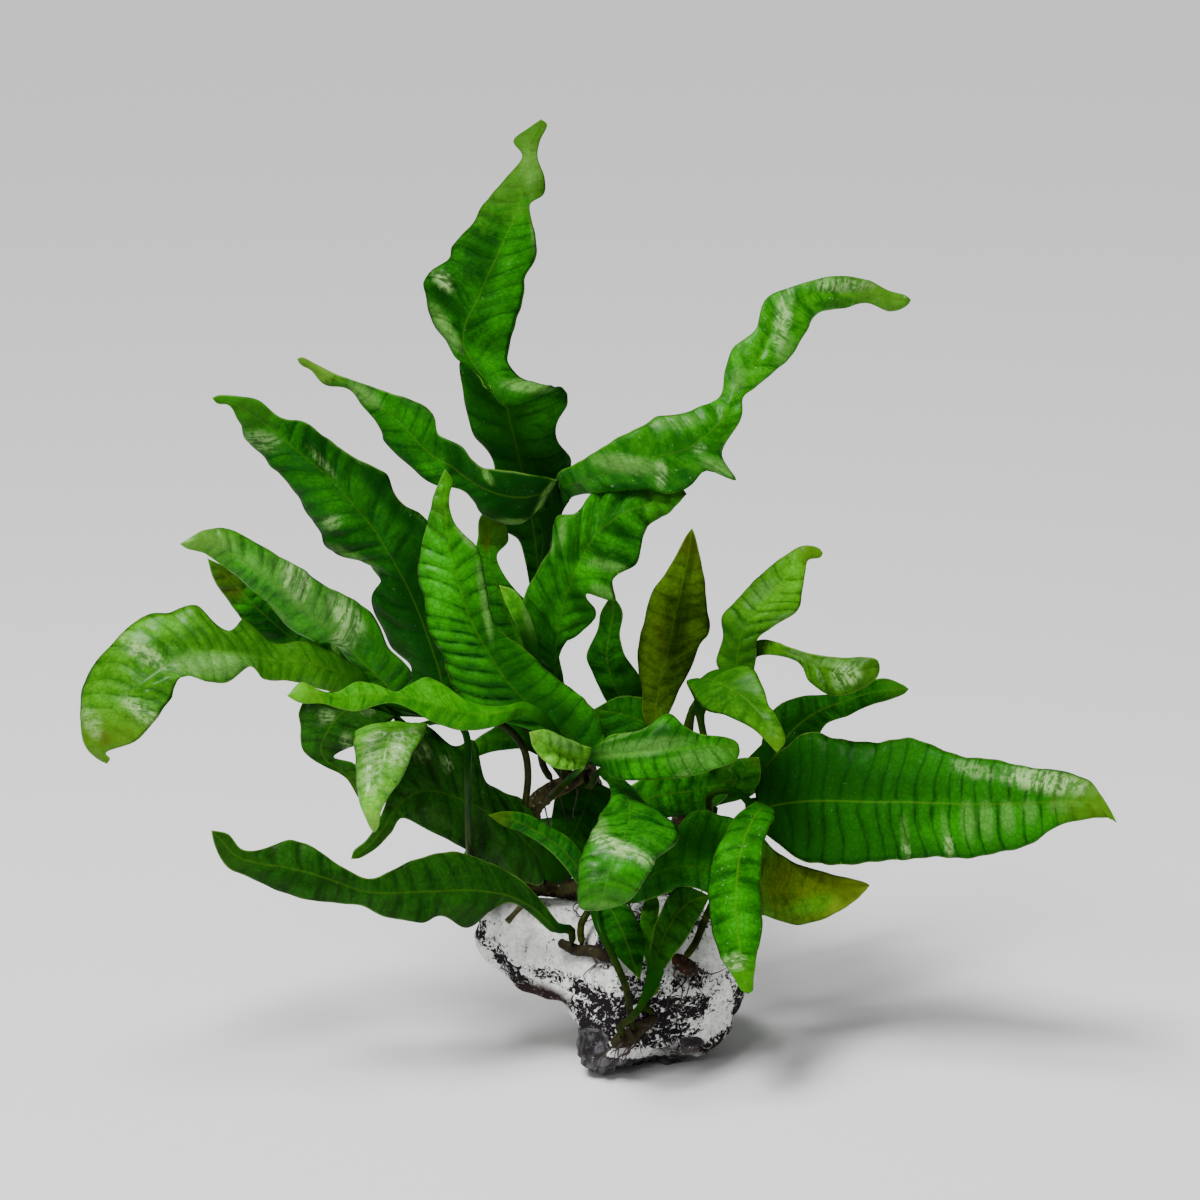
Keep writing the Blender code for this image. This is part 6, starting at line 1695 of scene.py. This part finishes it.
root = {
    "seed": 7, "around": 6, "radius": 0.26, "step": 1.1, "hug": 0.12, "steady": (0.31, 0.2, 1.0),
    # where on a branch they start, which way, and how deep in it
    "between": (0.03, 0.97), "forward": 0.4, "steepness": (-1.6, 0.1), "sunk": 0.8,
    # how they wander, fall and are drawn to the stone from farther than "reach", and where they cling to it
    "wander": 0.33, "fall": (0.0, 0.0, -0.22), "reach": 0.5, "pull": 0.12, "hardest": 0.5, "cling": 1.2,
    "lowest": 0.6, "fewest": 4, "thickness": (0.7, 1.25), "taper": 0.65,
    "dark": (0.010, 0.007, 0.005), "brown": (0.045, 0.026, 0.012), "roughness": 0.7,
    "patch": (4.0, 3.0), "brownAt": (0.4, 0.65), "grain": (0.5, 3.0), "bump": (0.12, 0.7),
    # left of this pixel and below this one, the stone's left lobe carries no roots
    "bareLeft": 562, "bareTop": 885,
    # branch, how many, shortest and longest
    "from": [
        ("rhizome_main", 22, 10.0, 30.0), ("rhizome_front_left", 6, 5.0, 12.0),
        ("rhizome_front_right", 7, 6.0, 18.0), ("rhizome_foot", 14, 6.0, 16.0),
        ("rhizome_rising_middle", 4, 10.0, 20.0), ("rhizome_rising_right", 4, 10.0, 20.0),
        ("rhizome_rising_back", 5, 12.0, 24.0),
    ],
}


def rootPath(chance, start, heading, length):
    # a wandering walk that falls to the stone and then stays on it
    place, heading = Vector(start), Vector(heading).normalized()
    path = [place.copy()]
    for _ in range(int(length / root["step"])):
        _, normal, away = offStone(place)
        wander = Vector((chance.gauss(0, 1), chance.gauss(0, 1), chance.gauss(0, 1))) * root["wander"]
        pull = min(max(away - root["reach"], 0.0) * root["pull"], root["hardest"])
        fall = Vector(root["fall"]) - normal * pull
        heading = (heading + wander + fall).normalized()
        if away < root["cling"]:
            heading = (heading - normal * heading.dot(normal)).normalized()
        place = movedOff(place + heading * root["step"], root["hug"])
        px, py = picturePixels(np.array(place))
        if place.z < root["lowest"] or (px < root["bareLeft"] and py > root["bareTop"]):
            break
        path.append(place.copy())
    return path


def rootMaterial():
    mat, tree = newMaterial("dark wiry roots")
    place = objectPlace(tree)
    patch, grain = cloud(tree, place, *root["patch"]), cloud(tree, place, *root["grain"])
    setShader(tree, {
        "Base Color": mixColour(tree, band(tree, patch, *root["brownAt"]), root["dark"], root["brown"]),
        "Roughness": root["roughness"],
        "Normal": bump(tree, grain, *root["bump"]),
    })
    return mat


def makeRoots():
    chance = random.Random(root["seed"])
    bm = bmesh.new()
    angle = wholeTurn(root["around"])
    for branch, count, shortest, longest in root["from"]:
        points, radii = routes[branch]
        for _ in range(count):
            t = np.array([chance.uniform(*root["between"]) * (len(points) - 1)])
            aside, back = chance.gauss(0, 1), chance.gauss(0, 1) - root["forward"]
            side = unit(np.array((aside, back, chance.uniform(*root["steepness"]))))
            start = along(points, t)[0] + side * along(radii, t)[0] * root["sunk"]
            path = rootPath(chance, start, side, chance.uniform(shortest, longest))
            if len(path) < root["fewest"]:
                continue
            dense = np.linspace(0.0, len(path) - 1.0, 2 * len(path))
            centre = along([place[:] for place in path], dense)
            across, upward = squareTo(unit(np.gradient(centre, axis=0)), root["steady"])
            thick = root["radius"] * chance.uniform(*root["thickness"])
            radius = thick * (1.0 - root["taper"] * np.linspace(0.0, 1.0, len(dense)))
            radius[0] = radius[-1] = 0.0
            part = wrappedMesh("root", ringsAround(centre, across, upward, radius[:, None], angle), {})
            bm.from_mesh(part)
            bpy.data.meshes.remove(part)
    mesh = bpy.data.meshes.new("roots")
    bm.to_mesh(mesh)
    bm.free()
    mesh.materials.append(rootMaterial())
    finishPiece("roots", mesh)


makeRoots()
print("roots made")


# The cut-off stub of an old stalk that leans on the stone

stub = {
    "top": (524, 903, -14), "end": (507, 922, -17), "radius": 0.8, "lift": 0.3,
    "around": 18, "rings": 26, "steady": (0.0, 0.0, 1.0),
    # how high and how close its waves are, and how much its end flares and from where
    "wave": (0.06, 9.0), "flare": 0.12, "flareAt": (0.7, 1.0),
    "green": (0.045, 0.048, 0.014), "brown": (0.085, 0.070, 0.032), "roughness": 0.6,
    "patch": (1.4, 4.0), "brownAt": (0.35, 0.65), "grain": (0.6, 3.0), "bump": (0.15, 0.7),
}


def stubMaterial():
    mat, tree = newMaterial("old stalk stub")
    place = objectPlace(tree)
    patch, grain = cloud(tree, place, *stub["patch"]), cloud(tree, place, *stub["grain"])
    setShader(tree, {
        "Base Color": mixColour(tree, band(tree, patch, *stub["brownAt"]), stub["green"], stub["brown"]),
        "Roughness": stub["roughness"],
        "Specular IOR Level": rhizome["specular"],
        "Normal": bump(tree, grain, *stub["bump"]),
    })
    return mat


def makeStub():
    clear = stub["radius"] + rhizome["gap"] + stub["lift"]
    top = np.array(movedOff(picturePoint(*stub["top"]), clear)[:])
    end = np.array(movedOff(picturePoint(*stub["end"]), clear)[:])
    s = np.linspace(0.0, 1.0, stub["rings"])
    height, closeness = stub["wave"]
    radius = 1.0 + height * np.sin(closeness * s) + stub["flare"] * smoothStep(*stub["flareAt"], s)
    radius = radius * stub["radius"]
    radius[0] = radius[-1] = 0.0
    s[1], s[-2] = s[0], s[-1]
    centre = top + (end - top) * s[:, None]
    across, upward = squareTo(unit(np.tile(end - top, (stub["rings"], 1))), stub["steady"])
    skin = ringsAround(centre, across, upward, radius[:, None], wholeTurn(stub["around"]))
    mesh = wrappedMesh("stalk_stub_skin", skin, {})
    mesh.materials.append(stubMaterial())
    finishPiece("stalk_stub_skin", mesh, ["stalk_stub"])


makeStub()
print("stub made")


# Pale floor and soft studio light

studio = {
    "floor": 14.0, "floorColour": (0.88, 0.88, 0.88, 1.0), "floorRoughness": 0.9,
    "world": (1.0, 1.0, 1.0, 1.0), "worldStrength": 0.16,
    "sunStrength": 3.2, "sunSpread": math.radians(16.0), "sunFrom": (-0.35, -0.55, 1.0),
    # name, place, what it looks at, size and power
    "lights": [
        ("overhead_softbox", (-0.25, -0.25, 1.0), (0.0, 0.0, 0.12), 0.35, 8.0),
        ("front_softbox", (-0.45, -1.1, 0.8), (0.0, 0.0, 0.12), 0.25, 3.0),
    ],
}


def placeLamp(name, data, place, aim):
    lamp = bpy.data.objects.new(name, data)
    lamp.location = place
    lamp.rotation_euler = Vector(aim).to_track_quat("-Z", "Y").to_euler()
    bpy.context.scene.collection.objects.link(lamp)


def makeStudio():
    bm = bmesh.new()
    bmesh.ops.create_grid(bm, x_segments=4, y_segments=4, size=studio["floor"] / 2.0)
    mesh = bpy.data.meshes.new("floor")
    bm.to_mesh(mesh)
    bm.free()
    mat, tree = newMaterial("pale floor")
    setShader(tree, {"Base Color": studio["floorColour"], "Roughness": studio["floorRoughness"]})
    mesh.materials.append(mat)
    floor = bpy.data.objects.new("floor", mesh)
    bpy.context.scene.collection.objects.link(floor)
    world = bpy.data.worlds.new("studio")
    world.use_nodes = True
    world.node_tree.nodes["Background"].inputs["Color"].default_value = studio["world"]
    world.node_tree.nodes["Background"].inputs["Strength"].default_value = studio["worldStrength"]
    bpy.context.scene.world = world
    sun = bpy.data.lights.new("sun", "SUN")
    sun.energy = studio["sunStrength"]
    sun.angle = studio["sunSpread"]
    placeLamp("sun", sun, (0.0, 0.0, 0.0), -Vector(studio["sunFrom"]))
    for name, place, target, size, power in studio["lights"]:
        data = bpy.data.lights.new(name, "AREA")
        data.shape = "SQUARE"
        data.size = size
        data.energy = power
        placeLamp(name, data, place, Vector(target) - Vector(place))


makeStudio()
print("studio lit")
